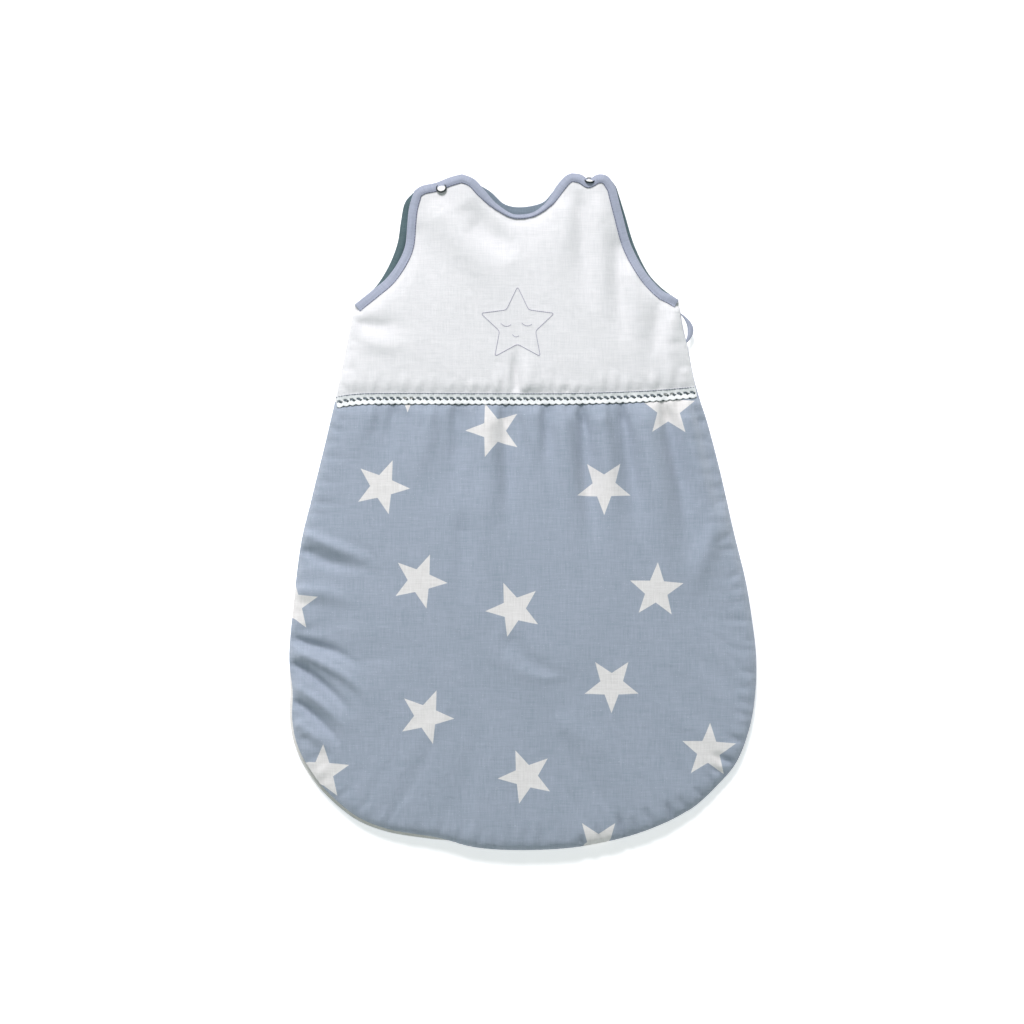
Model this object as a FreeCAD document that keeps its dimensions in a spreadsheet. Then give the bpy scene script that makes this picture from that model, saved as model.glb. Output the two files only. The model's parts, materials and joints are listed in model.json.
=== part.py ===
"""Baby sleeping bag, laid on its back: padded back, crowned front that folds open to the right,
two snapped shoulders and a zip down the left side and round the hem.

Frame: millimetres, +Z up from the floor, +Y towards the head, X to the right seen from above.
The origin is the middle of the bag's footprint, on the floor.
"""
import math
import os

import FreeCAD
import Part
import Sketcher

Vector = FreeCAD.Vector

# Outline vertices, anticlockwise from the left underarm: name, x, y, and the radius of the
# stretch to the next vertex (0 straight, positive bulging outward, negative hollow).
LOWER_EDGE = [
    ("underarm_left", -173, 215, 0),
    ("hip_left", -230.5, -46, 780),
    ("widest_left", -241.5, -157, 283),
    ("corner_left", -232, -257, 166),
    ("hem_left", -158, -327, 420),
    ("hem_step", -96, -339.5, 330),
    ("hem_middle", 0, -350, 376),
    ("hem_right", 132, -328, 148),
    ("corner_right", 222, -257, 234),
    ("widest_right", 241.5, -150, 690),
    ("hip_right", 225, -46, 0),
    ("waist_right", 183, 116, 0),
]
FRONT_TOP = [
    ("underarm_right", 160.5, 221.5, -92),
    ("armhole_right", 111, 276.5, 0),
    ("shoulder_right", 89, 347, 0),
    ("neck_right", 50, 350, 0),
    ("neck_right_low", 26, 324, -38),
    ("neck_left_low", -29, 323, 0),
    ("neck_left", -63, 349, 0),
    ("shoulder_left", -112, 333, 0),
    ("armhole_left", -119, 292, -118),
]
BACK_TOP = [
    ("back_underarm_right", 162, 221.5, -88),
    ("back_armhole_right", 114, 278, 0),
    ("back_shoulder_right", 90, 347, 0),
    ("back_neck_right", 50, 350, 0),
    ("back_neck_right_low", 26, 329, -40),
    ("back_neck_left_low", -29, 328, 0),
    ("back_neck_left", -63, 349, 0),
    ("back_shoulder_left", -113, 333, 0),
    ("back_armhole_left", -127, 290, -128),
]

DRIVING_SIZES = {
    "edge_margin": 1.0,
    "binding_width": 9.5,
    "binding_rise": 0.6,
    "binding_start": 216,
    "cloth_thickness": 0.5,
    "wadding_thickness": 4.0,
    "crown_height": 38,
    "crown_middle": -60,
    "crown_along_radius": 3810,
    "crown_across_radius": 1800,
    "waist_line": 116,
    "flap_fold": 162,
    "fold_gap": 0.3,
    "strap_fold": 318,
    "strap_bottom": 7.4,
    "strap_thickness": 8.0,
    "lace_height": 13.5,
    "lace_thickness": 1.2,
    "motif_across": -5.7,
    "motif_along": 192.6,
    "motif_radius": 40,
    "motif_hollow": 0.49,
    "motif_line": 1.2,
    "motif_rise": 0.4,
    "zip_inset": 5.3,
    "zip_middle": 9.9,
    "zip_top": 206,
    "zip_end": 155.5,
    "zip_stop_length": 3.0,
    "tape_thickness": 0.6,
    "teeth_thickness": 1.8,
    "teeth_height": 1.7,
    "teeth_parting": 1.2,
    "slider_length": 10.5,
    "slider_height": 7.8,
    "slider_plate": 1.2,
    "slider_channel": 2.5,
    "slider_post": 0.6,
    "lug_size": 2.0,
    "lug_span": 3.4,
    "lug_thickness": 1.0,
    "lug_pin": 1.2,
    "pull_eye": 3.0,
    "pull_bore": 1.8,
    "pull_thickness": 1.2,
    "pull_width": 4.4,
    "pull_length": 21,
    "snap_ring": 11,
    "snap_bore": 5.2,
    "snap_cap_height": 1.2,
    "snap_hole": 3.4,
    "snap_post": 3.0,
    "snap_socket": 10,
    "snap_socket_height": 1.4,
    "snap_stud": 4.2,
    "snap_stud_height": 1.4,
    "snap_flange_height": 0.6,
    "snap_left_across": -85,
    "snap_left_along": 334.5,
    "snap_right_across": 70,
    "snap_right_along": 340.5,
    "loop_root_across": 162.6,
    "loop_middle_across": 167.5,
    "loop_middle_along": 189,
    "loop_length": 33,
    "loop_width": 9,
    "loop_band": 2.4,
    "loop_height": 3,
    "loop_bottom": 8.4,
    "space": 60,
    "reach": 900,
}

NODES = []


def make_sheet(doc):
    """Write every driving size and outline vertex into the spreadsheet."""
    sheet = doc.addObject("Spreadsheet::Sheet", "Sizes")
    cells = dict(DRIVING_SIZES)
    for name, x, y, radius in LOWER_EDGE + FRONT_TOP + BACK_TOP:
        cells[name + "_x"] = x
        cells[name + "_y"] = y
        if radius:
            cells[name + "_bend"] = abs(radius)
    for row, (alias, value) in enumerate(cells.items(), start=1):
        sheet.set("A%d" % row, alias)
        sheet.set("B%d" % row, str(value))
        sheet.setAlias("B%d" % row, alias)
    doc.recompute()
    return sheet


def arc_between(start, end, radius):
    """Arc of a given radius between two points, always shorter than half a turn."""
    chord = end - start
    middle = (start + end) * 0.5
    side = Vector(-chord.y, chord.x, 0).normalize()
    depth = math.sqrt(radius * radius - (chord.Length / 2) ** 2)
    centre = middle + side * depth
    circle = Part.Circle(centre, Vector(0, 0, 1), radius)
    first = math.atan2(start.y - centre.y, start.x - centre.x)
    last = math.atan2(end.y - centre.y, end.x - centre.x)
    return Part.ArcOfCircle(circle, first, last)


def outline_sketch(doc, sheet, name, vertices):
    """Closed outline of lines and arcs, every vertex and radius bound to the sheet."""
    sketch = doc.addObject("Sketcher::SketchObject", name)
    points = [Vector(sheet.get(v[0] + "_x"), sheet.get(v[0] + "_y"), 0) for v in vertices]
    ends = []
    for i, (vertex, x, y, radius) in enumerate(vertices):
        start = points[i]
        end = points[(i + 1) % len(points)]
        if radius == 0:
            edge = sketch.addGeometry(Part.LineSegment(start, end), False)
        elif radius > 0:
            edge = sketch.addGeometry(arc_between(start, end, radius), False)
        else:
            edge = sketch.addGeometry(arc_between(end, start, -radius), False)
        ends.append((edge, 2, 1) if radius < 0 else (edge, 1, 2))
        if radius:
            bound(sketch, Sketcher.Constraint("Radius", edge, abs(radius)), vertex + "_bend")
    for i, (vertex, x, y, radius) in enumerate(vertices):
        edge, first, last = ends[i]
        before, unused, before_end = ends[i - 1]
        sketch.addConstraint(Sketcher.Constraint("Coincident", before, before_end, edge, first))
        bound(sketch, Sketcher.Constraint("DistanceX", -1, 1, edge, first, x), vertex + "_x")
        bound(sketch, Sketcher.Constraint("DistanceY", -1, 1, edge, first, y), vertex + "_y")
    return sketch


def bound(sketch, constraint, alias):
    """Add a constraint whose value follows a cell of the sheet."""
    index = sketch.addConstraint(constraint)
    sketch.renameConstraint(index, alias)
    sketch.setExpression(".Constraints." + alias, "Sizes." + alias)


def prism(doc, sketch, name, inset):
    """Tall block with the outline's plan, brought in by inset."""
    base = sketch
    if inset != "0":
        base = doc.addObject("Part::Offset2D", name + "_plan")
        base.Source = sketch
        base.setExpression("Value", "-(%s)" % inset)
    block = doc.addObject("Part::Extrusion", name)
    block.Base = base
    block.DirMode = "Custom"
    block.Dir = Vector(0, 0, 1)
    block.Solid = True
    block.setExpression("LengthFwd", "Sizes.space")
    return block


def box(doc, name, x=None, y=None, z=None):
    """Box between pairs of expressions; a missing pair reaches past the whole bag."""
    far = ("-Sizes.reach", "Sizes.reach")
    block = doc.addObject("Part::Box", name)
    for axis, size, span in (("x", "Length", x), ("y", "Width", y), ("z", "Height", z)):
        low, high = span or far
        low = low or far[0]
        high = high or far[1]
        block.setExpression(size, "(%s) - (%s)" % (high, low))
        block.setExpression("Placement.Base." + axis, low)
    return block


def join(doc, kind, name, base, tool):
    """Boolean of two objects: Common, Cut or Fuse."""
    result = doc.addObject("Part::" + kind, name)
    result.Base = base
    result.Tool = tool
    return result


def crown(doc, depth):
    """Solid bounded above by the front's crowned surface, lowered by depth."""
    name = "crown"
    ring = doc.addObject("Part::Torus", name)
    ring.setExpression("Radius1", "Sizes.crown_along_radius - Sizes.crown_across_radius")
    ring.setExpression("Radius2", "Sizes.crown_across_radius - (%s)" % depth)
    ring.Angle1 = -180
    ring.Angle2 = 180
    ring.Placement = FreeCAD.Placement(Vector(), FreeCAD.Rotation(Vector(0, 1, 0), 90))
    ring.setExpression("Placement.Base.y", "Sizes.crown_middle")
    ring.setExpression("Placement.Base.z", "Sizes.crown_height - Sizes.crown_along_radius")
    return ring


def crowned_layer(doc, name, blank, top, bottom):
    """Part of a blank between two depths below the crowned surface."""
    under = join(doc, "Common", name + "_under", blank, crown(doc, top))
    return join(doc, "Cut", name, under, crown(doc, bottom))


def flat_layer(doc, name, blank, low, high):
    """Part of a blank between two heights."""
    return join(doc, "Common", name, blank, box(doc, name + "_span", z=(low, high)))


def node(piece, label):
    """Name a finished sub-part and list it for checking and writing."""
    piece.Label = label
    NODES.append(piece)
    return piece


def edge_ring(doc, sketch, name, outer, inner):
    """Wall that follows the outline between two insets."""
    return join(doc, "Cut", name, prism(doc, sketch, name + "_out", outer),
                prism(doc, sketch, name + "_in", inner))


def quilt_depths():
    """Depths of cloth, wadding and lining below the top of a padded panel."""
    cloth = "Sizes.cloth_thickness"
    wadding = "Sizes.wadding_thickness"
    return [("0", cloth), (cloth, cloth + "+" + wadding),
            (cloth + "+" + wadding, "2*%s+%s" % (cloth, wadding))]


PANEL = "(2*Sizes.cloth_thickness + Sizes.wadding_thickness)"


def make_back(doc, outline):
    """Padded back, flat on the floor, with its bound neck and armholes and the snap studs."""
    upper = box(doc, "back_upper", y=("Sizes.binding_start", None))
    band = join(doc, "Common", "back_band",
                edge_ring(doc, outline, "back_rim", "0", "Sizes.binding_width"), upper)
    blank = join(doc, "Cut", "back_blank",
                 prism(doc, outline, "back_panel", "Sizes.edge_margin"), band)
    for side in ("left", "right"):
        blank = join(doc, "Cut", "back_blank_" + side, blank,
                     snap_hole(doc, side, "0", PANEL, True))
    cloth, wadding, lining = quilt_depths()
    shell = flat_layer(doc, "back_cloth", blank, *cloth)
    for label, span in (("back_bodice", ("Sizes.waist_line", None)),
                        ("back_skirt", (None, "Sizes.waist_line"))):
        node(join(doc, "Common", label, shell, box(doc, label + "_part", y=span)), label)
    node(flat_layer(doc, "back_wadding", blank, *wadding), "back_wadding")
    node(flat_layer(doc, "back_lining", blank, *lining), "back_lining")
    tape = flat_layer(doc, "back_tape", band, "0", PANEL)
    for side in ("left", "right"):
        tape = join(doc, "Cut", "back_tape_" + side, tape, snap_hole(doc, side, "0", PANEL, True))
    spans = {
        "back_armhole_binding_left": (None, "Sizes.neck_left_x"),
        "back_neck_binding": ("Sizes.neck_left_x", "Sizes.neck_right_x"),
        "back_armhole_binding_right": ("Sizes.neck_right_x", None),
    }
    for label, span in spans.items():
        node(join(doc, "Common", label, tape, box(doc, label + "_part", x=span)), label)


def make_front(doc, outline):
    """Crowned front: the flap that folds open and the strip that stays by the right seam."""
    upper = box(doc, "front_upper", y=("Sizes.binding_start", None))
    band = join(doc, "Common", "front_band",
                edge_ring(doc, outline, "front_rim", "0", "Sizes.binding_width"), upper)
    panel = prism(doc, outline, "front_panel", "Sizes.edge_margin")
    blank = join(doc, "Cut", "front_blank", panel, band)
    half_gap = "Sizes.fold_gap / 2"
    flap = box(doc, "flap_part", x=(None, "Sizes.flap_fold - " + half_gap),
               y=(None, "Sizes.strap_fold - " + half_gap))
    side = box(doc, "side_part", x=("Sizes.flap_fold + " + half_gap, None))
    for prefix, part in (("front", flap), ("side", side)):
        piece = join(doc, "Common", prefix + "_piece", blank, part)
        cloth, wadding, lining = quilt_depths()
        shell = crowned_layer(doc, prefix + "_cloth", piece, *cloth)
        for panel_name, span in (("_bodice", ("Sizes.waist_line", None)),
                                 ("_skirt", (None, "Sizes.waist_line"))):
            label = prefix + panel_name
            node(join(doc, "Common", label, shell, box(doc, label + "_part", y=span)), label)
        node(crowned_layer(doc, prefix + "_wadding", piece, *wadding), prefix + "_wadding")
        node(crowned_layer(doc, prefix + "_lining", piece, *lining), prefix + "_lining")
        make_lace(doc, prefix, panel, part)
    make_front_bindings(doc, band, flap)
    return band, blank


def make_front_bindings(doc, band, flap):
    """Binding round the neck and armholes, standing a little proud of the panel."""
    edge = join(doc, "Common", "front_edge", band, flap)
    tape = crowned_layer(doc, "front_tape", edge, "-Sizes.binding_rise", PANEL)
    spans = {
        "armhole_binding_left": (None, "Sizes.shoulder_left_x / 2"),
        "neck_binding": ("Sizes.shoulder_left_x / 2", "Sizes.shoulder_right_x / 2"),
        "armhole_binding_right": ("Sizes.shoulder_right_x / 2", None),
    }
    for label, span in spans.items():
        node(join(doc, "Common", label, tape, box(doc, label + "_part", x=span)), label)


def make_lace(doc, prefix, panel, part):
    """Lace trim across the waist seam."""
    strip = box(doc, prefix + "_lace_span",
                y=("Sizes.waist_line - Sizes.lace_height / 2",
                   "Sizes.waist_line + Sizes.lace_height / 2"))
    piece = join(doc, "Common", prefix + "_lace_piece", panel, part)
    plan = join(doc, "Common", prefix + "_lace_plan", piece, strip)
    label = {"front": "waist_lace", "side": "side_lace"}[prefix]
    node(crowned_layer(doc, label, plan, "-Sizes.lace_thickness", "0"), label)


def make_motif(doc):
    """Five-pointed star worked in a raised line on the bodice."""
    tips = 5
    corners = 2 * tips
    star = doc.addObject("Sketcher::SketchObject", "motif_star")
    turn = 360 / corners
    for i in range(corners):
        star.addGeometry(Part.LineSegment(star_corner(i, turn), star_corner(i + 1, turn)), False)
    for i in range(corners):
        star.addConstraint(Sketcher.Constraint("Coincident", i - 1 if i else corners - 1, 2, i, 1))
        for kind, wave, middle in (("DistanceX", "cos", "across"), ("DistanceY", "sin", "along")):
            corner = star_corner(i, turn)
            value = corner.x if kind == "DistanceX" else corner.y
            index = star.addConstraint(Sketcher.Constraint(kind, -1, 1, i, 1, value))
            name = "corner_%d_%s" % (i, middle)
            star.renameConstraint(index, name)
            reach = "Sizes.motif_radius" + (" * Sizes.motif_hollow" if i % 2 else "")
            star.setExpression(".Constraints." + name, "Sizes.motif_%s + %s * %s(%g deg)"
                               % (middle, reach, wave, 90 + i * turn))
    ring = edge_ring(doc, star, "motif_ring", "0", "Sizes.motif_line")
    node(crowned_layer(doc, "star_motif", ring, "-Sizes.motif_rise", "0"), "star_motif")


def star_corner(i, turn):
    """First guess of a star corner; the sheet's expressions settle it."""
    reach = DRIVING_SIZES["motif_radius"]
    if i % 2:
        reach *= DRIVING_SIZES["motif_hollow"]
    angle = math.radians(90 + i * turn)
    return Vector(DRIVING_SIZES["motif_across"] + reach * math.cos(angle),
                  DRIVING_SIZES["motif_along"] + reach * math.sin(angle), 0)


def make_straps(doc, band, blank):
    """The two front shoulder ends, which lie over the back ones and unsnap."""
    top = "Sizes.strap_bottom + Sizes.strap_thickness"
    spans = {"left": (None, "0"), "right": ("0", None)}
    for side, span in spans.items():
        part = box(doc, "strap_" + side, x=span,
                   y=("Sizes.strap_fold + Sizes.fold_gap / 2", None))
        piece = join(doc, "Common", "strap_piece_" + side, blank, part)
        layers = {
            "shoulder_cloth_": (top + " - Sizes.cloth_thickness", top),
            "shoulder_wadding_": ("Sizes.strap_bottom + Sizes.cloth_thickness",
                                  top + " - Sizes.cloth_thickness"),
            "shoulder_lining_": ("Sizes.strap_bottom",
                                 "Sizes.strap_bottom + Sizes.cloth_thickness"),
        }
        for label, heights in layers.items():
            node(flat_layer(doc, label + side, piece, *heights), label + side)
        edge = join(doc, "Common", "strap_edge_" + side, band, part)
        tape = flat_layer(doc, "strap_tape_" + side, edge, "Sizes.strap_bottom",
                          top + " + Sizes.binding_rise")
        hole = snap_hole(doc, side, "Sizes.strap_bottom", top + " + Sizes.binding_rise", False)
        label = "shoulder_binding_" + side
        node(join(doc, "Cut", label, tape, hole), label)


def snap_hole(doc, side, low, high, with_ring):
    """Cutter for a snap's post, with a recess for the prong ring under the back."""
    hole = upright(doc, "snap_hole", side, "Sizes.snap_hole", low, "(%s)-(%s)" % (high, low))
    if not with_ring:
        return hole
    recess = upright(doc, "snap_recess", side, "Sizes.snap_ring", low, "Sizes.snap_cap_height")
    return join(doc, "Fuse", "snap_cutter_" + side, hole, recess)


def upright(doc, name, side, width, low, height):
    """Upright cylinder on a snap's centre."""
    rod = doc.addObject("Part::Cylinder", name + "_" + side)
    rod.setExpression("Radius", "(%s) / 2" % width)
    rod.setExpression("Height", height)
    rod.setExpression("Placement.Base.x", "Sizes.snap_%s_across" % side)
    rod.setExpression("Placement.Base.y", "Sizes.snap_%s_along" % side)
    rod.setExpression("Placement.Base.z", low)
    return rod


def make_snaps(doc):
    """Ring snaps: ring and white centre on top, socket under the strap, stud on the back."""
    top = "Sizes.strap_bottom + Sizes.strap_thickness + Sizes.binding_rise"
    rise = "Sizes.snap_cap_height"
    for side in ("left", "right"):
        disc = upright(doc, "snap_disc", side, "Sizes.snap_ring", top, rise)
        bore = upright(doc, "snap_ring_bore", side, "Sizes.snap_bore", top, rise)
        label = "snap_ring_" + side
        node(join(doc, "Cut", label, disc, bore), label)
        button = upright(doc, "snap_button", side, "Sizes.snap_bore", top, rise)
        post = upright(doc, "snap_post", side, "Sizes.snap_post", "Sizes.strap_bottom",
                       "%s - Sizes.strap_bottom" % top)
        label = "snap_centre_" + side
        node(join(doc, "Fuse", label, button, post), label)
        low = "Sizes.strap_bottom - Sizes.snap_socket_height"
        socket = upright(doc, "snap_socket_disc", side, "Sizes.snap_socket", low,
                         "Sizes.snap_socket_height")
        throat = upright(doc, "snap_throat", side, "Sizes.snap_bore", low,
                         "Sizes.snap_socket_height")
        label = "snap_socket_" + side
        node(join(doc, "Cut", label, socket, throat), label)
        flange = upright(doc, "snap_flange", side, "Sizes.snap_socket", PANEL,
                         "Sizes.snap_flange_height")
        head = upright(doc, "snap_head", side, "Sizes.snap_stud", PANEL,
                       "Sizes.snap_flange_height + Sizes.snap_stud_height")
        label = "snap_stud_" + side
        node(join(doc, "Fuse", label, flange, head), label)
        plate = upright(doc, "snap_plate", side, "Sizes.snap_ring", "0", rise)
        shank = upright(doc, "snap_shank", side, "Sizes.snap_post", "0", PANEL)
        label = "snap_back_ring_" + side
        node(join(doc, "Fuse", label, plate, shank), label)


def make_zip(doc, outline):
    """Zip standing on edge between back and front, down the left side and round the hem."""
    half_tape = "Sizes.tape_thickness / 2"
    half_teeth = "Sizes.teeth_thickness / 2"
    tape_wall = edge_ring(doc, outline, "tape_wall", "Sizes.zip_inset - " + half_tape,
                          "Sizes.zip_inset + " + half_tape)
    teeth_wall = edge_ring(doc, outline, "teeth_wall", "Sizes.zip_inset - " + half_teeth,
                           "Sizes.zip_inset + " + half_teeth)
    zip_plan = {"x": (None, "Sizes.zip_end"), "y": (None, "Sizes.zip_top")}
    half_parting = "Sizes.teeth_parting / 2"
    back_teeth = ("Sizes.zip_middle - %s - Sizes.teeth_height" % half_parting,
                  "Sizes.zip_middle - " + half_parting)
    front_teeth = ("Sizes.zip_middle + " + half_parting,
                   "Sizes.zip_middle + %s + Sizes.teeth_height" % half_parting)
    end_gap = "Sizes.fold_gap"
    above = ("Sizes.zip_top + " + end_gap, "Sizes.zip_top + %s + Sizes.zip_stop_length" % end_gap)
    beyond = ("Sizes.zip_end + " + end_gap, "Sizes.zip_end + %s + Sizes.zip_stop_length" % end_gap)
    pieces = {
        "zip_teeth_back": (teeth_wall, dict(zip_plan, z=back_teeth)),
        "zip_teeth_front": (teeth_wall, dict(zip_plan, z=front_teeth)),
        "zip_tape_back": (tape_wall, dict(zip_plan, z=(PANEL, back_teeth[0]))),
        "zip_stop_back": (teeth_wall, {"x": (None, "0"), "y": above, "z": back_teeth}),
        "zip_stop_front": (teeth_wall, {"x": (None, "0"), "y": above, "z": front_teeth}),
        "zip_stop_bottom": (teeth_wall, {"x": beyond, "y": (None, "0"),
                                         "z": (back_teeth[0], front_teeth[1])}),
    }
    for label, (wall, span) in pieces.items():
        node(join(doc, "Common", label, wall, box(doc, label + "_span", **span)), label)
    upper = join(doc, "Common", "front_tape_wall", tape_wall,
                 box(doc, "front_tape_span", z=(front_teeth[1], None), **zip_plan))
    node(join(doc, "Common", "zip_tape_front", upper, crown(doc, PANEL)), "zip_tape_front")
    seam_span = {"x": ("Sizes.flap_fold + Sizes.fold_gap / 2", None),
                 "y": (None, "Sizes.binding_start"), "z": (PANEL, None)}
    seam = join(doc, "Common", "seam_wall", tape_wall, box(doc, "seam_span", **seam_span))
    wall = join(doc, "Common", "seam_under", seam, crown(doc, PANEL))
    slot = box(doc, "loop_slot",
               y=("Sizes.loop_middle_along - Sizes.loop_length / 2",
                  "Sizes.loop_middle_along + Sizes.loop_length / 2"),
               z=("Sizes.loop_bottom", "Sizes.loop_bottom + Sizes.loop_height"))
    node(join(doc, "Cut", "side_seam", wall, slot), "side_seam")


def origin_plane(body, role):
    """One of a body's own origin planes."""
    for feature in body.Origin.OriginFeatures:
        if feature.Role == role:
            return feature
    raise ValueError("no plane " + role)


def body_sketch(body, name, height):
    """Sketch on the body's own XY plane, raised to a height expression."""
    sketch = body.newObject("Sketcher::SketchObject", name)
    sketch.AttachmentSupport = [(origin_plane(body, "XY_Plane"), "")]
    sketch.MapMode = "FlatFace"
    sketch.setExpression(".AttachmentOffset.Base.z", height)
    return sketch


def rectangle(sketch, name, x, y):
    """Rectangle between two pairs of expressions (values read back for the first guess)."""
    low, high = sketch.evalExpression(x[0]), sketch.evalExpression(x[1])
    near, far = sketch.evalExpression(y[0]), sketch.evalExpression(y[1])
    low, high, near, far = [float(getattr(v, "Value", v)) for v in (low, high, near, far)]
    corners = [Vector(low, near, 0), Vector(high, near, 0), Vector(high, far, 0),
               Vector(low, far, 0)]
    first = sketch.GeometryCount
    for i in range(4):
        sketch.addGeometry(Part.LineSegment(corners[i], corners[(i + 1) % 4]), False)
    for i in range(4):
        edge = first + i
        after = first + (i + 1) % 4
        sketch.addConstraint(Sketcher.Constraint("Coincident", edge, 2, after, 1))
        kind = "Horizontal" if i % 2 == 0 else "Vertical"
        sketch.addConstraint(Sketcher.Constraint(kind, edge))
    for kind, edge, value, expression in (
            ("DistanceX", first, low, x[0]), ("DistanceX", first + 1, high, x[1]),
            ("DistanceY", first, near, y[0]), ("DistanceY", first + 2, far, y[1])):
        index = sketch.addConstraint(Sketcher.Constraint(kind, -1, 1, edge, 1, value))
        constraint = "%s_%d" % (name, edge * 2 + (kind == "DistanceY"))
        sketch.renameConstraint(index, constraint)
        sketch.setExpression(".Constraints." + constraint, expression)


def circle(sketch, name, x, y, width):
    """Circle on a centre given by expressions."""
    values = [sketch.evalExpression(item) for item in (x, y, width)]
    across, along, size = [float(getattr(v, "Value", v)) for v in values]
    edge = sketch.addGeometry(Part.Circle(Vector(across, along, 0), Vector(0, 0, 1), size / 2))
    for kind, value, expression in (("DistanceX", across, x), ("DistanceY", along, y)):
        index = sketch.addConstraint(Sketcher.Constraint(kind, -1, 1, edge, 3, value))
        sketch.renameConstraint(index, name + kind)
        sketch.setExpression(".Constraints." + name + kind, expression)
    index = sketch.addConstraint(Sketcher.Constraint("Diameter", edge, size))
    sketch.renameConstraint(index, name + "_width")
    sketch.setExpression(".Constraints." + name + "_width", width)


def pad(body, sketch, name, length):
    """Pad a sketch upwards by a length expression."""
    feature = body.newObject("PartDesign::Pad", name)
    feature.Profile = sketch
    feature.setExpression("Length", length)
    return feature


def zip_placement(sheet):
    """Frame on the closed zip's slider: local X up the zip, local Y out of the bag."""
    top = Vector(sheet.underarm_left_x, sheet.underarm_left_y, 0)
    hip = Vector(sheet.hip_left_x, sheet.hip_left_y, 0)
    down = (hip - top).normalize()
    out = Vector(down.y, -down.x, 0)
    start = (sheet.zip_top - sheet.slider_length - top.y) / down.y
    centre = top + down * start - out * sheet.zip_inset
    turn = math.degrees(math.atan2(-down.y, -down.x))
    return centre, turn


def make_slider(doc, sheet):
    """Slider: two plates either side of the teeth, joined by a post, with lugs for the pull."""
    body = doc.addObject("PartDesign::Body", "zip_slider")
    half_length = "Sizes.slider_length / 2"
    half_channel = "Sizes.slider_channel / 2"
    outside = half_channel + " + Sizes.slider_plate"
    low = "Sizes.zip_middle - Sizes.slider_height / 2"
    post = body_sketch(body, "post_plan", "Sizes.zip_middle - Sizes.slider_post / 2")
    rectangle(post, "post", ("(%s) / 2" % half_length, half_length),
              ("-(%s)" % outside, outside))
    pad(body, post, "post", "Sizes.slider_post")
    plates = body_sketch(body, "plates_plan", low)
    rectangle(plates, "inner", ("-(%s)" % half_length, half_length),
              ("-(%s)" % outside, "-(%s)" % half_channel))
    rectangle(plates, "outer", ("-(%s)" % half_length, half_length), (half_channel, outside))
    pad(body, plates, "plates", "Sizes.slider_height")
    pivot = outside + " + Sizes.fold_gap + Sizes.pull_eye / 2"
    lug_low = "Sizes.zip_middle - Sizes.lug_span / 2"
    for name, height in (("lower_lug", lug_low + " - Sizes.lug_thickness"),
                         ("upper_lug", "Sizes.zip_middle + Sizes.lug_span / 2")):
        lug = body_sketch(body, name + "_plan", height)
        rectangle(lug, name, ("-Sizes.lug_size / 2", "Sizes.lug_size / 2"),
                  (outside, "%s + Sizes.lug_size / 2" % pivot))
        pad(body, lug, name, "Sizes.lug_thickness")
    pin = body_sketch(body, "pin_plan", lug_low)
    circle(pin, "pin", "0", pivot, "Sizes.lug_pin")
    pad(body, pin, "pin", "Sizes.lug_span")
    centre, turn = zip_placement(sheet)
    body.Placement = FreeCAD.Placement(centre, FreeCAD.Rotation(Vector(0, 0, 1), turn))
    node(body, "zip_slider")


def make_pull(doc, sheet):
    """Pull tab that hangs on the slider's pin and lies down along the zip."""
    body = doc.addObject("PartDesign::Body", "zip_pull")
    outside = "Sizes.slider_channel / 2 + Sizes.slider_plate"
    pivot = outside + " + Sizes.fold_gap + Sizes.pull_eye / 2"
    eye_height = "Sizes.lug_span - 2 * Sizes.fold_gap"
    eye = body_sketch(body, "eye_plan", "Sizes.zip_middle - (%s) / 2" % eye_height)
    circle(eye, "eye", "0", pivot, "Sizes.pull_eye")
    circle(eye, "bore", "0", pivot, "Sizes.pull_bore")
    pad(body, eye, "eye", eye_height)
    neck = body_sketch(body, "neck_plan", "Sizes.zip_middle - (%s) / 2" % eye_height)
    sides = ("%s - Sizes.pull_thickness / 2" % pivot, "%s + Sizes.pull_thickness / 2" % pivot)
    start = "-(Sizes.pull_bore + Sizes.pull_eye) / 4"
    rectangle(neck, "neck", ("-Sizes.pull_length / 3", start), sides)
    pad(body, neck, "neck", eye_height)
    tab = body_sketch(body, "tab_plan", "Sizes.zip_middle - Sizes.pull_width / 2")
    rectangle(tab, "tab", ("-Sizes.pull_length", "Sizes.pull_thickness - Sizes.pull_length / 3"),
              sides)
    pad(body, tab, "tab", "Sizes.pull_width")
    centre, turn = zip_placement(sheet)
    body.Placement = FreeCAD.Placement(centre, FreeCAD.Rotation(Vector(0, 0, 1), turn))
    node(body, "zip_pull")


def make_loop(doc):
    """Leaf-shaped loop of binding held in the right underarm seam."""
    body = doc.addObject("PartDesign::Body", "underarm_loop")
    plan = body_sketch(body, "loop_plan", "Sizes.loop_bottom")
    right = "Sizes.loop_middle_across + Sizes.loop_width"
    rectangle(plan, "loop", ("Sizes.loop_root_across", right),
              ("Sizes.loop_middle_along - Sizes.loop_length / 2",
               "Sizes.loop_middle_along + Sizes.loop_length / 2"))
    rectangle(plan, "eye", ("Sizes.loop_middle_across + Sizes.loop_band",
                            right + " - Sizes.loop_band"),
              ("Sizes.loop_middle_along - Sizes.loop_length / 2 + Sizes.loop_band",
               "Sizes.loop_middle_along + Sizes.loop_length / 2 - Sizes.loop_band"))
    pad(body, plan, "loop", "Sizes.loop_height")
    body.Placement = FreeCAD.Placement()
    node(body, "underarm_loop")


def check_and_write(doc):
    """Stop on any failed object, then write each sub-part."""
    doc.recompute()
    for item in doc.Objects:
        if "Invalid" in item.State or "Error" in item.State:
            raise RuntimeError("failed object: " + item.Label)
    os.makedirs("parts", exist_ok=True)
    for piece in NODES:
        shape = piece.Shape
        if shape.isNull() or not shape.isValid() or not shape.Solids:
            raise RuntimeError("bad shape: " + piece.Label)
        shape.exportStep("parts/%s.step" % piece.Label)


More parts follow.
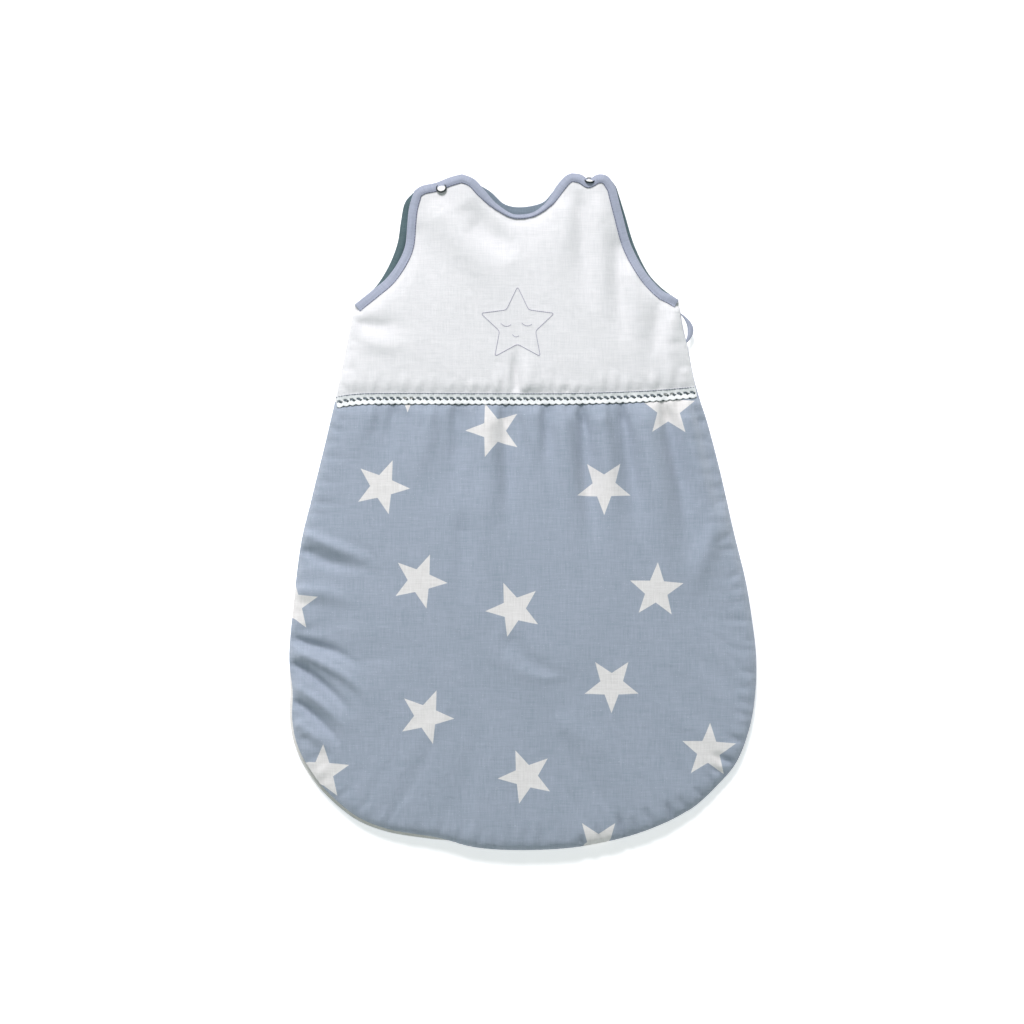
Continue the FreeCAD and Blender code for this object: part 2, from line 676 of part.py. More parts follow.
def build():
    doc = FreeCAD.newDocument("SleepingBag")
    sheet = make_sheet(doc)
    front_outline = outline_sketch(doc, sheet, "front_outline", LOWER_EDGE + FRONT_TOP)
    back_outline = outline_sketch(doc, sheet, "back_outline", LOWER_EDGE + BACK_TOP)
    doc.recompute()
    make_back(doc, back_outline)
    band, blank = make_front(doc, front_outline)
    make_motif(doc)
    make_straps(doc, band, blank)
    make_snaps(doc)
    make_zip(doc, front_outline)
    make_slider(doc, sheet)
    make_pull(doc, sheet)
    make_loop(doc)
    check_and_write(doc)


build()
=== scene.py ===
"""Baby sleeping bag, lying on its back: padded panels, bindings, lace, snaps, zip and finishes.

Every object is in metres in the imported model's frame: +Z up, +Y towards the head.
"""

import json
import math

import bmesh
import bpy
import numpy as np
from mathutils import Matrix, Vector, geometry, noise
from mathutils.bvhtree import BVHTree
from mathutils.kdtree import KDTree


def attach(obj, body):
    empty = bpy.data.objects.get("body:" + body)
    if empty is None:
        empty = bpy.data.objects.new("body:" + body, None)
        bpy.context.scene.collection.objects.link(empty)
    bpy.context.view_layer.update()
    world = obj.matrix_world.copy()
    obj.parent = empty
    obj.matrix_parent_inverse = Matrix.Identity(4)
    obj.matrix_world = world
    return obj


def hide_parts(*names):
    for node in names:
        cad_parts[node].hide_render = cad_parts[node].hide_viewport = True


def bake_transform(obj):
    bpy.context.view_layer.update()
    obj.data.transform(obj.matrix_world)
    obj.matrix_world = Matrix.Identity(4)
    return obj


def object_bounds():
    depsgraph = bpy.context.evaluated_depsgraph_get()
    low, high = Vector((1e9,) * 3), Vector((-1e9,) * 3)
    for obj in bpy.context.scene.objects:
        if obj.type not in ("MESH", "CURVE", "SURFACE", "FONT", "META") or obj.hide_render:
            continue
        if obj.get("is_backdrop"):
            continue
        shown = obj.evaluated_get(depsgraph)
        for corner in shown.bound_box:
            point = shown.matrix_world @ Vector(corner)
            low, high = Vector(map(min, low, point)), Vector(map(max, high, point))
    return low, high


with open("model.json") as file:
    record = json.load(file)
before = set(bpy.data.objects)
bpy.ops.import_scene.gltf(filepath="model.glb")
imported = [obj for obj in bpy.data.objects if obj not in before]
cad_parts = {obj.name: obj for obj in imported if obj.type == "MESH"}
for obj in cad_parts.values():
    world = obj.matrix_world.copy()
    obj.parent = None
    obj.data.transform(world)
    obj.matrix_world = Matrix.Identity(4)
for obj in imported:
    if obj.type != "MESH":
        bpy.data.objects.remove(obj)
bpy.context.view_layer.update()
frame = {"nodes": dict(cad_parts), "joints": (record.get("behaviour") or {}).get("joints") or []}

MM = 0.001
JOINTS = {joint["name"]: joint for joint in frame["joints"]}
FOLD_X = JOINTS["front_fold"]["pos_m"][0]
STRAP_Y = JOINTS["shoulder_fold_left"]["pos_m"][1]

# Sewn edges of the front, anticlockwise from the left underarm, in millimetres.
SIDE_AND_HEM = [(-174, 214), (-197, 104), (-218, 17), (-230, -34), (-238, -100), (-242, -150),
                (-238.5, -186), (-239, -214), (-234, -240), (-222, -264), (-203, -289),
                (-172, -315), (-138, -328.5), (-96, -335.5), (-80, -339), (-50, -347), (-8, -350),
                (45, -348), (90, -340.5), (132, -328), (173, -308), (202, -282), (222, -257),
                (235, -221), (240.5, -185), (241, -148), (237, -112), (230, -70), (218, -21),
                (204, 41), (191, 91), (183, 116), (176, 141), (170.5, 170), (165, 193), (163, 206),
                (161, 219)]
ARMHOLE_RIGHT = [(161, 219), (152, 224), (142, 230), (126, 248), (111, 276), (102, 308), (95, 336)]
SHOULDER_RIGHT = [(95, 336), (87, 347), (77, 348.5), (68, 343.5), (60, 348.5), (50, 350)]
NECK = [(50, 350), (43, 346), (34, 335), (26, 321.5), (12, 310), (-3, 307), (-14, 309),
        (-29, 319.5), (-40, 332), (-51, 344), (-63, 349)]
SHOULDER_LEFT = [(-63, 349), (-76, 345.5), (-90, 340), (-104, 337), (-112, 332)]
ARMHOLE_LEFT = [(-112, 332), (-117, 315), (-119, 297), (-121, 276), (-128, 259), (-140, 242),
                (-154, 230), (-174, 214)]
BACK_ARMHOLE_RIGHT = [(161, 219), (143, 232), (128, 249), (114, 278), (105, 308), (96, 337)]
BACK_SHOULDER_RIGHT = [(96, 337), (88, 345), (70, 342), (51, 349)]
BACK_NECK = [(51, 349), (40, 342), (31, 331), (20, 320), (-2, 315.5), (-20, 319), (-36, 333),
             (-63, 347)]
BACK_SHOULDER_LEFT = [(-63, 347), (-90, 338), (-113, 331)]
BACK_ARMHOLE_LEFT = [(-113, 331), (-122, 320), (-126, 300), (-129, 280), (-136, 260), (-147, 240),
                     (-158, 227), (-174, 214)]
# The back panel shows past the front along the lower left.
BACK_HEM = (SIDE_AND_HEM[:6]
            + [(-241.5, -186), (-242, -214), (-237.5, -240), (-226, -266), (-207, -291),
               (-175, -318), (-140, -332), (-96, -339), (-76, -341)]
            + SIDE_AND_HEM[15:33] + [(170, 170), (164.5, 193), (161, 219)])

# Printed stars: centre and the way one tip points, in millimetres and degrees.
STARS = [(-145, 26, -4), (-30, 84, 180), (83, 26, -90), (150, 106, 90), (-119, 132, -90),
         (-106, -71, -4), (-10, -100, 184), (137, -81, 87), (-240, -95, 15), (-100, -211, -4),
         (91, -178, -90), (3, -273, 184), (192, -247, 87), (-208, -269, 15), (78, -345, -90)]
STAR_REACH = 29.3
STAR_WAIST = 0.42

# Spacing of the front cloth's points, heights of its sewn edge and where the binding starts, mm.
CLOTH_STEP = 3.4
EDGE_HEIGHT = 12.5
BOUND_EDGE_HEIGHT = 13.5
BOUND_FROM = 214
# How far the settling cloth may move, its air pressure and how many steps it takes.
MOST_MOVE = 9
AIR_PRESSURE = 3.0
SETTLING_STEPS = 20
# Cut widths of the bias tapes and the zip tape, in metres.
BIAS_CUT = 0.0225
ZIP_TAPE_CUT = 0.0108


# ---------------------------------------------------------------- shader sums and finishes

class Value:
    """One number or colour in a finish; sums on it add Math nodes."""

    def __init__(self, finish, socket):
        self.finish = finish
        self.socket = socket

    def sum(self, operation, *others):
        return self.finish.node("ShaderNodeMath", {"operation": operation}, [self, *others])

    def __add__(self, other):
        return self.sum("ADD", other)

    __radd__ = __add__

    def __mul__(self, other):
        return self.sum("MULTIPLY", other)

    __rmul__ = __mul__

    def __sub__(self, other):
        return self.sum("SUBTRACT", other)

    def __rsub__(self, other):
        return self * -1 + other

    def above(self, level):
        return self.sum("GREATER_THAN", level)

    def sine(self):
        return self.sum("SINE")


class Finish:
    """A material built round one Principled shader."""

    def __init__(self, name, roughness=0.85, metallic=0.0, sheen=0.0, coat=0.0):
        self.material = bpy.data.materials.new(name)
        self.material.use_nodes = True
        self.tree = self.material.node_tree
        self.tree.nodes.clear()
        self.shader = self.tree.nodes.new("ShaderNodeBsdfPrincipled")
        output = self.tree.nodes.new("ShaderNodeOutputMaterial")
        self.tree.links.new(self.shader.outputs["BSDF"], output.inputs["Surface"])
        for label, value in [("Roughness", roughness), ("Metallic", metallic),
                             ("Sheen Weight", sheen), ("Coat Weight", coat)]:
            self.shader.inputs[label].default_value = value
        self.shader.inputs["Sheen Roughness"].default_value = 0.55

    def node(self, kind, settings, inputs, output=0):
        """Add a node: its settings first, then the values or links of its sockets."""
        made = self.tree.nodes.new(kind)
        for label, value in settings.items():
            if label == "stops":
                for stop, (place, colour) in zip(made.color_ramp.elements, value):
                    stop.position = place
                    stop.color = (*colour, 1)
            else:
                setattr(made, label, value)
        pairs = inputs.items() if isinstance(inputs, dict) else enumerate(inputs)
        for label, value in pairs:
            if isinstance(value, Value):
                self.tree.links.new(value.socket, made.inputs[label])
            elif value is not None:
                made.inputs[label].default_value = value
        return Value(self, made.outputs[output])

    def feed(self, label, value):
        self.tree.links.new(value.socket, self.shader.inputs[label])

    def cloth_place(self):
        return self.node("ShaderNodeUVMap", {"uv_map": "pattern"}, {})

    def place(self):
        return self.node("ShaderNodeTexCoord", {}, {}, "Object")

    def split(self, vector, axis):
        return self.node("ShaderNodeSeparateXYZ", {}, [vector], axis)

    def noise(self, place, scale, stretch=(1, 1, 1), detail=2.0):
        spread = self.node("ShaderNodeMapping", {}, {"Vector": place, "Scale": stretch})
        return self.node("ShaderNodeTexNoise", {}, {"Vector": spread, "Scale": scale,
                                                    "Detail": detail})

    def blend(self, share, first, second):
        first, second = [(*c, 1) if isinstance(c, tuple) else c for c in (first, second)]
        return self.node("ShaderNodeMix", {"data_type": "RGBA"}, {0: share, 6: first, 7: second}, 2)

    def bump(self, height, distance, strength=1.0, under=None):
        return self.node("ShaderNodeBump", {}, {"Height": height, "Distance": distance,
                                                "Strength": strength, "Normal": under})


def woven_cotton(name, dark, light, thread=0.45, fleck=None, crease=0.35, sheen=0.25):
    """Plain-woven cotton: thread is its pitch, crease its fine wrinkling, both in millimetres."""
    cloth = Finish(name, sheen=sheen)
    place = cloth.cloth_place()
    across, along = cloth.split(place, 0), cloth.split(place, 1)
    turn = 2 * math.pi / (thread * MM)
    weave = (across * turn).sine() * (along * turn).sine()
    weft = cloth.noise(place, 1, (60, 1500, 1), 3)
    warp = cloth.noise(place, 1, (1500, 60, 1), 3)
    streaks = cloth.noise(place, 1, (22, 420, 1), 3) + cloth.noise(place, 1, (420, 22, 1), 3)
    cloudy = cloth.noise(place, 28, detail=4)
    tone = 0.5 + (weft + warp - 1) * 1.6 + (streaks - 1) * 0.7 + (cloudy - 0.5) * 0.4 + weave * 0.12
    colour = cloth.blend(tone, dark, light)
    if fleck:
        slub = cloth.noise(place, 1, (420, 1300, 1), 1).above(0.72)
        colour = cloth.blend(slub * 0.6, colour, fleck)
    cloth.feed("Base Color", colour)
    cloth.feed("Roughness", 0.78 + (weft - 0.5) * 0.25)
    crumple = cloth.noise(place, 95, detail=3) + cloth.noise(place, 30, detail=2)
    soft = cloth.bump(crumple, crease * MM)
    yarn = weave * 0.5 + (weft + warp) * 1.2
    cloth.feed("Normal", cloth.bump(yarn, 0.12 * MM, under=soft))
    return cloth.material


def knotted_thread(name, colour, shade, sheen=0.3):
    """Sewing or lace yarn, with its twist."""
    yarn = Finish(name, sheen=sheen)
    place = yarn.place()
    twist = yarn.noise(place, 1, (900, 700, 900), 2)
    yarn.feed("Base Color", yarn.blend(twist * 1.4 - 0.2, shade, colour))
    yarn.feed("Roughness", 0.6 + twist * 0.3)
    yarn.feed("Normal", yarn.bump(twist, 0.15 * MM))
    return yarn.material


def worn_metal(name, colour, dull, roughness=0.3):
    """Plated metal with fine rubbed scratches and duller patches."""
    metal = Finish(name, metallic=1.0)
    place = metal.place()
    rubbed = metal.noise(place, 1, (300, 2600, 2600), 3)
    patches = metal.noise(place, 350, detail=3)
    metal.feed("Base Color", metal.blend(patches, dull, colour))
    metal.feed("Roughness", roughness + (rubbed - 0.5) * 0.25 + patches * 0.08)
    metal.feed("Normal", metal.bump(rubbed, 0.02 * MM))
    return metal.material


def moulded_plastic(name, colour, shade, roughness=0.4):
    """Moulded nylon with a faint flow pattern."""
    nylon = Finish(name, coat=0.1)
    place = nylon.place()
    flow = nylon.noise(place, 600, detail=3)
    nylon.feed("Base Color", nylon.blend(flow, shade, colour))
    nylon.feed("Roughness", roughness + flow * 0.15)
    nylon.feed("Normal", nylon.bump(flow, 0.03 * MM))
    return nylon.material


SKIRT_BLUE = woven_cotton("skirt_blue_cotton", (0.275, 0.335, 0.40), (0.375, 0.425, 0.51),
                          fleck=(0.62, 0.66, 0.72))
STAR_PRINT = woven_cotton("printed_star_cotton", (0.70, 0.69, 0.665), (0.84, 0.83, 0.81),
                          fleck=(0.92, 0.92, 0.9))
BODICE_WHITE = woven_cotton("bodice_white_cotton", (0.74, 0.75, 0.75), (0.86, 0.86, 0.86),
                            fleck=(0.93, 0.93, 0.93))
LINING = woven_cotton("lining_cotton", (0.72, 0.71, 0.67), (0.84, 0.83, 0.79), crease=0.5)
TAPE_BLUE = woven_cotton("binding_cotton", (0.33, 0.37, 0.46), (0.45, 0.485, 0.595), thread=0.4,
                         fleck=(0.62, 0.65, 0.75), crease=0.2)
# The back's neck binding is the front binding's cotton darkened with painted shade.
BACK_NECK_TAPE_PAINTED_SHADE = woven_cotton("back_neck_binding_painted_shade", (0.15, 0.20, 0.24), (0.22, 0.275, 0.33),
                          thread=0.4, crease=0.2)
# The back's armhole bindings are the same cotton darkened further with painted deep shade.
BACK_ARMHOLE_TAPE_PAINTED_DEEP_SHADE = woven_cotton("back_armhole_binding_painted_deep_shade", (0.055, 0.105, 0.115), (0.09, 0.15, 0.165),
                         thread=0.4, crease=0.2)
ZIP_CLOTH = woven_cotton("zip_tape_cloth", (0.36, 0.40, 0.48), (0.47, 0.51, 0.59), thread=0.8,
                         crease=0.1)
LACE_YARN = knotted_thread("lace_yarn", (0.80, 0.82, 0.81), (0.58, 0.62, 0.61))
SEAM_THREAD = knotted_thread("blue_seam_thread", (0.155, 0.17, 0.25), (0.08, 0.09, 0.14))
# Near-black thread laid under the lace: painted shade in the eyelet holes and below the scallops.
PAINTED_SHADE_THREAD = knotted_thread("painted_shade_dark_thread", (0.035, 0.06, 0.06), (0.015, 0.03, 0.03))
MOTIF_THREAD = knotted_thread("grey_lilac_thread", (0.46, 0.45, 0.53), (0.32, 0.32, 0.40))
ZIP_NYLON = moulded_plastic("zip_nylon", (0.55, 0.59, 0.67), (0.45, 0.49, 0.57))
SNAP_NYLON = moulded_plastic("snap_white_nylon", (0.90, 0.90, 0.88), (0.82, 0.82, 0.80))
ZIP_METAL = worn_metal("zip_plated_metal", (0.62, 0.63, 0.65), (0.44, 0.45, 0.47))
# Plated snap metal darkened nearly to black: painted shade on bright plated rings.
SNAP_METAL_PAINTED_SHADE = worn_metal("snap_metal_painted_shade", (0.055, 0.065, 0.065), (0.025, 0.035, 0.035), 0.42)


# ---------------------------------------------------------------- outlines and flat cloth

def steps_of(line):
    """Distances between the points of a line that follow each other."""
    return np.linalg.norm(np.diff(line, axis=0), axis=1)


def lengths_along(line):
    """Length of a line up to each of its points."""
    return np.concatenate([[0], np.cumsum(steps_of(line))])


def places_at(where, along, line):
    """Both coordinates of a line at given lengths along it."""
    return [np.interp(where, along, line[:, axis]) for axis in (0, 1)]


def tree_of(line):
    """Search tree of a line's points."""
    tree = KDTree(len(line))
    for i, (x, y) in enumerate(line):
        tree.insert((x, y, 0), i)
    tree.balance()
    return tree


def smooth_run(run, step):
    """Evenly spaced points on a smooth line through a run's points."""
    knots = np.array([2 * np.array(run[0]) - run[1], *run, 2 * np.array(run[-1]) - run[-2]])
    line = []
    for i in range(1, len(knots) - 2):
        before, start, end, after = knots[i - 1:i + 3]
        for part in np.linspace(0, 1, 16, endpoint=False):
            line.append(0.5 * (2 * start + (end - before) * part
                               + (2 * before - 5 * start + 4 * end - after) * part ** 2
                               + (3 * start - before - 3 * end + after) * part ** 3))
    line.append(knots[-2])
    line = np.array(line)
    along = lengths_along(line)
    count = max(2, round(along[-1] / step) + 1)
    return np.column_stack(places_at(np.linspace(0, along[-1], count), along, line))


def closed_line(runs, step):
    """One closed line through several runs that follow each other."""
    return np.concatenate([smooth_run(run, step)[:-1] for run in runs])


def inside(points, line):
    """Which points lie inside a closed line."""
    x, y = points[:, 0], points[:, 1]
    hit = np.zeros(len(points), bool)
    for (ax, ay), (bx, by) in zip(line, np.roll(line, -1, axis=0)):
        if ay == by:
            continue
        crosses = (ay > y) != (by > y)
        hit ^= crosses & (x < (bx - ax) * (y - ay) / (by - ay) + ax)
    return hit


def distance_to(points, line):
    """Distance from each point to the nearest point of a dense line."""
    tree = tree_of(line)
    return np.array([tree.find((x, y, 0))[2] for x, y in points])


def star_line(x, y, turn, step=None):
    """Outline of a five-pointed star; step divides its sides."""
    corners = []
    for i in range(10):
        reach = STAR_REACH * (STAR_WAIST if i % 2 else 1)
        angle = math.radians(turn + 36 * i)
        corners.append((x + reach * math.cos(angle), y + reach * math.sin(angle)))
    if step is None:
        return np.array(corners)
    return np.concatenate([smooth_run([corners[i - 1], corners[i]], step)[:-1] for i in range(10)])


def cut_cloth(runs, seams, stars, step):
    """Flat triangles inside an outline, with edges along its seams and round its printed stars."""
    border = closed_line(runs, step)
    fixed = [border]
    edges = []
    total = len(border)
    lines = [(seam, False) for seam in seams]
    lines += [(star_line(*star, step), True) for star in stars]
    for line, closed in lines:
        keep = inside(line, border) & (distance_to(line, closed_line(runs, 1.0)) > 1.2)
        index = np.cumsum(keep) - 1 + total
        pairs = range(len(line)) if closed else range(1, len(line))
        edges += [(int(index[i - 1]), int(index[i])) for i in pairs if keep[i] and keep[i - 1]]
        fixed.append(line[keep])
        total += int(keep.sum())
    fixed = np.concatenate(fixed)
    low, high = border.min(0), border.max(0)
    rows = np.arange(low[1], high[1], step * math.sqrt(3) / 2)
    lattice = np.array([(x, y) for i, y in enumerate(rows)
                        for x in np.arange(low[0] + (i % 2) * step / 2, high[0], step)])
    lattice = lattice[inside(lattice, border)]
    lattice = lattice[distance_to(lattice, fixed) > 0.62 * step]
    points = [Vector(p) for p in np.concatenate([fixed, lattice])]
    flat, unused, faces, *rest = geometry.delaunay_2d_cdt(
        points, edges, [list(range(len(border)))], 1, 1e-6)
    return np.array(flat), [list(face) for face in faces]


# ---------------------------------------------------------------- shape of the padded front

def crown(x, y):
    """Height of the front's crowned surface in millimetres, as the frame's front has it."""
    return 38 - x ** 2 / 3600 - (y + 60) ** 2 / 7620


def rounded(distance, reach):
    """0 at an edge rising steeply to 1 at reach, like the side of a cushion."""
    return np.sqrt(1 - (1 - np.clip(distance / reach, 0, 1)) ** 2)


def ridge(points, line, width, height):
    """Height added by a soft fold along a line, fading out at both ends."""
    path = smooth_run(line, 2.0)
    tree = tree_of(path)
    added = np.zeros(len(points))
    near = ((points > path.min(0) - 4 * width) & (points < path.max(0) + 4 * width)).all(1)
    for i in np.nonzero(near)[0]:
        unused, index, gap = tree.find((*points[i], 0))
        along = index / (len(path) - 1)
        fade = min(1, 8 * along) * smooth_step(1.6 * (1 - along))
        added[i] = height * fade * math.exp(-(gap / width) ** 2)
    return added


def smooth_step(value):
    """0 below 0, 1 above 1, and an even S between."""
    value = np.clip(value, 0, 1)
    return value * value * (3 - 2 * value)


def sewn(x):
    """0 along the zip and 1 along the sewn right side."""
    return smooth_step((x - 150) / 16)


class Panel:
    """A flat-cut sheet with its distances to the edges, all in millimetres."""

    def __init__(self, hem, tops, seams, stars, step):
        self.flat, self.faces = cut_cloth([hem] + tops, seams, stars, step)
        self.x, self.y = self.flat.T
        self.hem = distance_to(self.flat, smooth_run(hem, 1.0))
        self.top = distance_to(self.flat, np.concatenate([smooth_run(run, 1.0) for run in tops]))
        self.edge = np.minimum(self.hem, self.top)


def front_edge_height(panel):
    """Height of the front's sewn edge."""
    side = EDGE_HEIGHT - 3.6 * sewn(panel.x)
    return side + (BOUND_EDGE_HEIGHT - side) * smooth_step((panel.y - BOUND_FROM) / 12)


def front_surface(panel):
    """Smooth top and underside of the padded front before it settles."""
    edge = front_edge_height(panel)
    side = 0.46 * rounded(panel.hem, 11) + 0.54 * rounded(panel.hem, 80)
    fullness = np.minimum(side, rounded(np.maximum(panel.top - 7, 0), 24))
    top = edge + 2 * rounded(panel.top, 5) * (panel.top < panel.hem)
    top = top + (crown(panel.x, panel.y) + 1.5 - top) * fullness
    bound = smooth_step((panel.y - BOUND_FROM) / 12)
    strap = smooth_step((panel.y - 300) / 20)
    drop = 0.5 + 2.5 * np.maximum(sewn(panel.x), bound) + 2.5 * strap
    lining = edge - drop * rounded(panel.edge, 8)
    dome = np.maximum(0, crown(panel.x, panel.y) - 9.5 - lining)
    return top, lining + dome * smooth_step(panel.edge / 75)


def settle(name, points, faces, rest, pinned):
    """Let a sheet held at its seams swell and buckle; returns its settled points."""
    mesh = bpy.data.meshes.new(name)
    mesh.from_pydata([tuple(p) for p in points * MM], [], faces)
    cloth = bpy.data.objects.new(name, mesh)
    bpy.context.scene.collection.objects.link(cloth)
    cloth.shape_key_add(name="sewn")
    cut = cloth.shape_key_add(name="cut")
    cut.data.foreach_set("co", (rest * MM).ravel())
    seam = cloth.vertex_groups.new(name="seam")
    for weight in np.unique(pinned[pinned > 0]):
        seam.add(np.nonzero(pinned == weight)[0].tolist(), float(weight), "REPLACE")
    swell = cloth.modifiers.new("swell", "CLOTH")
    fabric = swell.settings
    fabric.quality = 7
    fabric.mass = 0.3
    fabric.tension_stiffness = fabric.compression_stiffness = 30
    fabric.shear_stiffness = 8
    fabric.bending_stiffness = 6
    fabric.tension_damping = fabric.compression_damping = 12
    fabric.bending_damping = 2
    fabric.vertex_group_mass = "seam"
    fabric.pin_stiffness = 6
    fabric.rest_shape_key = cut
    fabric.use_pressure = True
    fabric.uniform_pressure_force = AIR_PRESSURE
    fabric.effector_weights.gravity = 0
    swell.point_cache.frame_start = 1
    swell.point_cache.frame_end = SETTLING_STEPS
    scene = bpy.context.scene
    for step in range(1, SETTLING_STEPS + 1):
        scene.frame_set(step)
    settled = cloth.evaluated_get(bpy.context.evaluated_depsgraph_get())
    result = np.empty(len(points) * 3)
    settled.data.vertices.foreach_get("co", result)
    result = result.reshape(-1, 3) / MM
    scene.frame_set(1)
    bpy.data.objects.remove(cloth)
    bpy.data.meshes.remove(mesh)
    return result


# ---------------------------------------------------------------- folds of the front

WAIST_SEAM = [(-215, 110.5), (-198, 114), (-175, 117.5), (-140, 118.5), (0, 118), (60, 118.5),
              (120, 120.5), (160, 123.5), (200, 128)]
# Soft folds: the line each follows, its half width and its height, in millimetres.
GATHERS = [([(-38, 113), (-36, 70), (-34, 20), (-40, -60)], 9, 4.0),
           ([(-18, 113), (-17, 70), (-16, 20), (-20, -40)], 8, -3.0),
           ([(10, 113), (9, 70), (8, 20)], 10, 2.0),
           ([(26, 113), (25, 80), (24, 40)], 6, -2.5),
           ([(42, 113), (42, 70), (46, 10), (52, -70)], 10, 4.0),
           ([(60, 113), (62, 70), (68, 10), (74, -50)], 8, -4.0),
           ([(78, 114), (84, 70), (92, 10), (98, -40)], 9, 4.0),
           ([(98, 116), (106, 70), (116, 10), (122, -40)], 8, -4.0),
           ([(120, 118), (132, 60), (144, 0), (150, -80)], 11, 4.5),
           ([(144, 120), (156, 60), (168, 0), (172, -60)], 9, -4.0),
           ([(164, 122), (178, 60), (192, 0), (198, -80)], 9, 3.5),
           ([(180, 112), (192, 60), (204, 10), (214, -40)], 7, -3.0),
           ([(214, 10), (200, -20), (182, -60), (160, -120)], 11, 2.5),
           ([(-64, 113), (-66, 70), (-70, 10)], 11, -2.5),
           ([(-96, 113), (-100, 70), (-108, 20)], 12, 2.5),
           ([(-130, 112), (-138, 80), (-148, 40)], 11, -2.0),
           ([(-160, 112), (-168, 80), (-178, 50)], 10, 1.5)]
DRAPES = [([(-40, 40), (-44, -30), (-45, -90), (-30, -150), (0, -200), (30, -230)], 12, 3.5),
          ([(-60, 0), (-62, -60), (-60, -110), (-44, -160)], 12, -2.5),
          ([(-24, -120), (4, -152), (44, -168), (90, -160)], 12, -3.0),
          ([(-236, -20), (-200, -34), (-165, -48), (-140, -60)], 6, 4.0),
          ([(-233, -38), (-200, -52), (-160, -60)], 6, -4.0),
          ([(-239, -80), (-205, -84), (-170, -98)], 8, 3.0),
          ([(-244, -128), (-222, -136), (-190, -146), (-160, -166)], 4.5, -5.5),
          ([(-243, -141), (-214, -153), (-180, -173), (-150, -204)], 5, 4.5),
          ([(-243, -154), (-222, -166), (-196, -188), (-170, -216)], 4, -6.0),
          ([(-242, -180), (-220, -190), (-196, -210), (-178, -236)], 4.5, 4.5),
          ([(-242, -193), (-222, -205), (-200, -227), (-184, -250)], 4, -5.5),
          ([(-238, -218), (-214, -233), (-196, -252)], 5, 4.0),
          ([(30, -210), (70, -236), (110, -250), (150, -250)], 14, 2.0)]
BODICE_FOLDS = [([(-6, 122), (-8, 150), (-5, 174)], 3.5, -4.5),
                ([(6, 122), (6, 148), (8, 170)], 7, 2.5),
                ([(-92, 322), (-76, 292), (-54, 262), (-34, 232), (-24, 214)], 13, 3.0),
                ([(-60, 320), (-42, 296), (-18, 276), (20, 268)], 13, -3.0),
                ([(40, 326), (44, 296), (40, 262), (34, 232)], 12, 2.5),
                ([(60, 334), (62, 290), (64, 240), (66, 186)], 9, -3.0),
                ([(78, 330), (80, 280), (84, 226), (84, 170)], 9, 3.0),
                ([(96, 290), (98, 250), (102, 206), (100, 160)], 8, -3.5),
                ([(110, 262), (116, 220), (120, 170), (118, 130)], 9, 3.0),
                ([(140, 222), (138, 190), (136, 150)], 8, -3.0),
                ([(156, 206), (154, 170), (158, 140)], 7, 2.5),
                ([(-172, 196), (-150, 192), (-118, 196)], 7, -2.5),
                ([(-172, 178), (-140, 172), (-104, 178)], 9, 2.0),
                ([(-110, 300), (-96, 262), (-92, 220)], 10, -1.5),
                ([(-56, 304), (-30, 286), (-4, 280), (26, 290)], 13, -3.0)]


def fine_gathers():
    """Small uneven gathers either side of the waist seam and short puckers along the hem."""
    draw = np.random.default_rng(11)
    folds = []
    x = -176.0
    while x < 168:
        seam = float(waist_at(x))
        above, below = seam + 3, seam - 6
        height = float(draw.uniform(0.7, 1.5)) * (0.6 if x < -60 else 1.0)
        top = float(draw.uniform(14, 40))
        low = float(draw.uniform(20, 60))
        fan = 0.12 + 0.0009 * x
        folds += [([(x, above), (x + 0.02 * top, above + top)], 3.6, height),
                  ([(x + 5, above), (x + 5, above + 0.7 * top)], 3.4, -height),
                  ([(x, below), (x + fan * low, below - low)], 4.4, 1.3 * height),
                  ([(x + 6, below), (x + 6 + fan * low, below - 0.8 * low)], 4.2, -1.4 * height)]
        x += float(draw.uniform(10, 19))
    hem = smooth_run(SIDE_AND_HEM, 4.0)
    into = into_cloth(hem)
    at = 4
    while at < len(hem) - 8:
        (hx, hy), (ix, iy) = hem[at], into[at]
        strength = 1.5 if hy < -230 and hx > 50 else 0.6
        deep = float(draw.uniform(14, 34))
        height = float(draw.uniform(1.2, 2.6)) * strength
        lean = float(draw.uniform(-0.25, 0.25))
        folds.append(([(hx, hy), (hx + deep * (ix - lean * iy), hy + deep * (iy + lean * ix))], 3.4,
                      -height))
        at += int(draw.integers(3, 7))
    return folds


def waist_at(x):
    """How far up the waist seam runs at x."""
    line = smooth_run(WAIST_SEAM, 2.0)
    return np.interp(x, line[:, 0], line[:, 1])


def folded(points):
    """Height that all the front's hand-set folds add."""
    return sum(ridge(points, line, width, strength * height)
               for folds, strength in ((GATHERS, 1.75), (DRAPES, 1.35), (BODICE_FOLDS, 1.3),
                                       (fine_gathers(), 1.35))
               for line, width, height in folds)


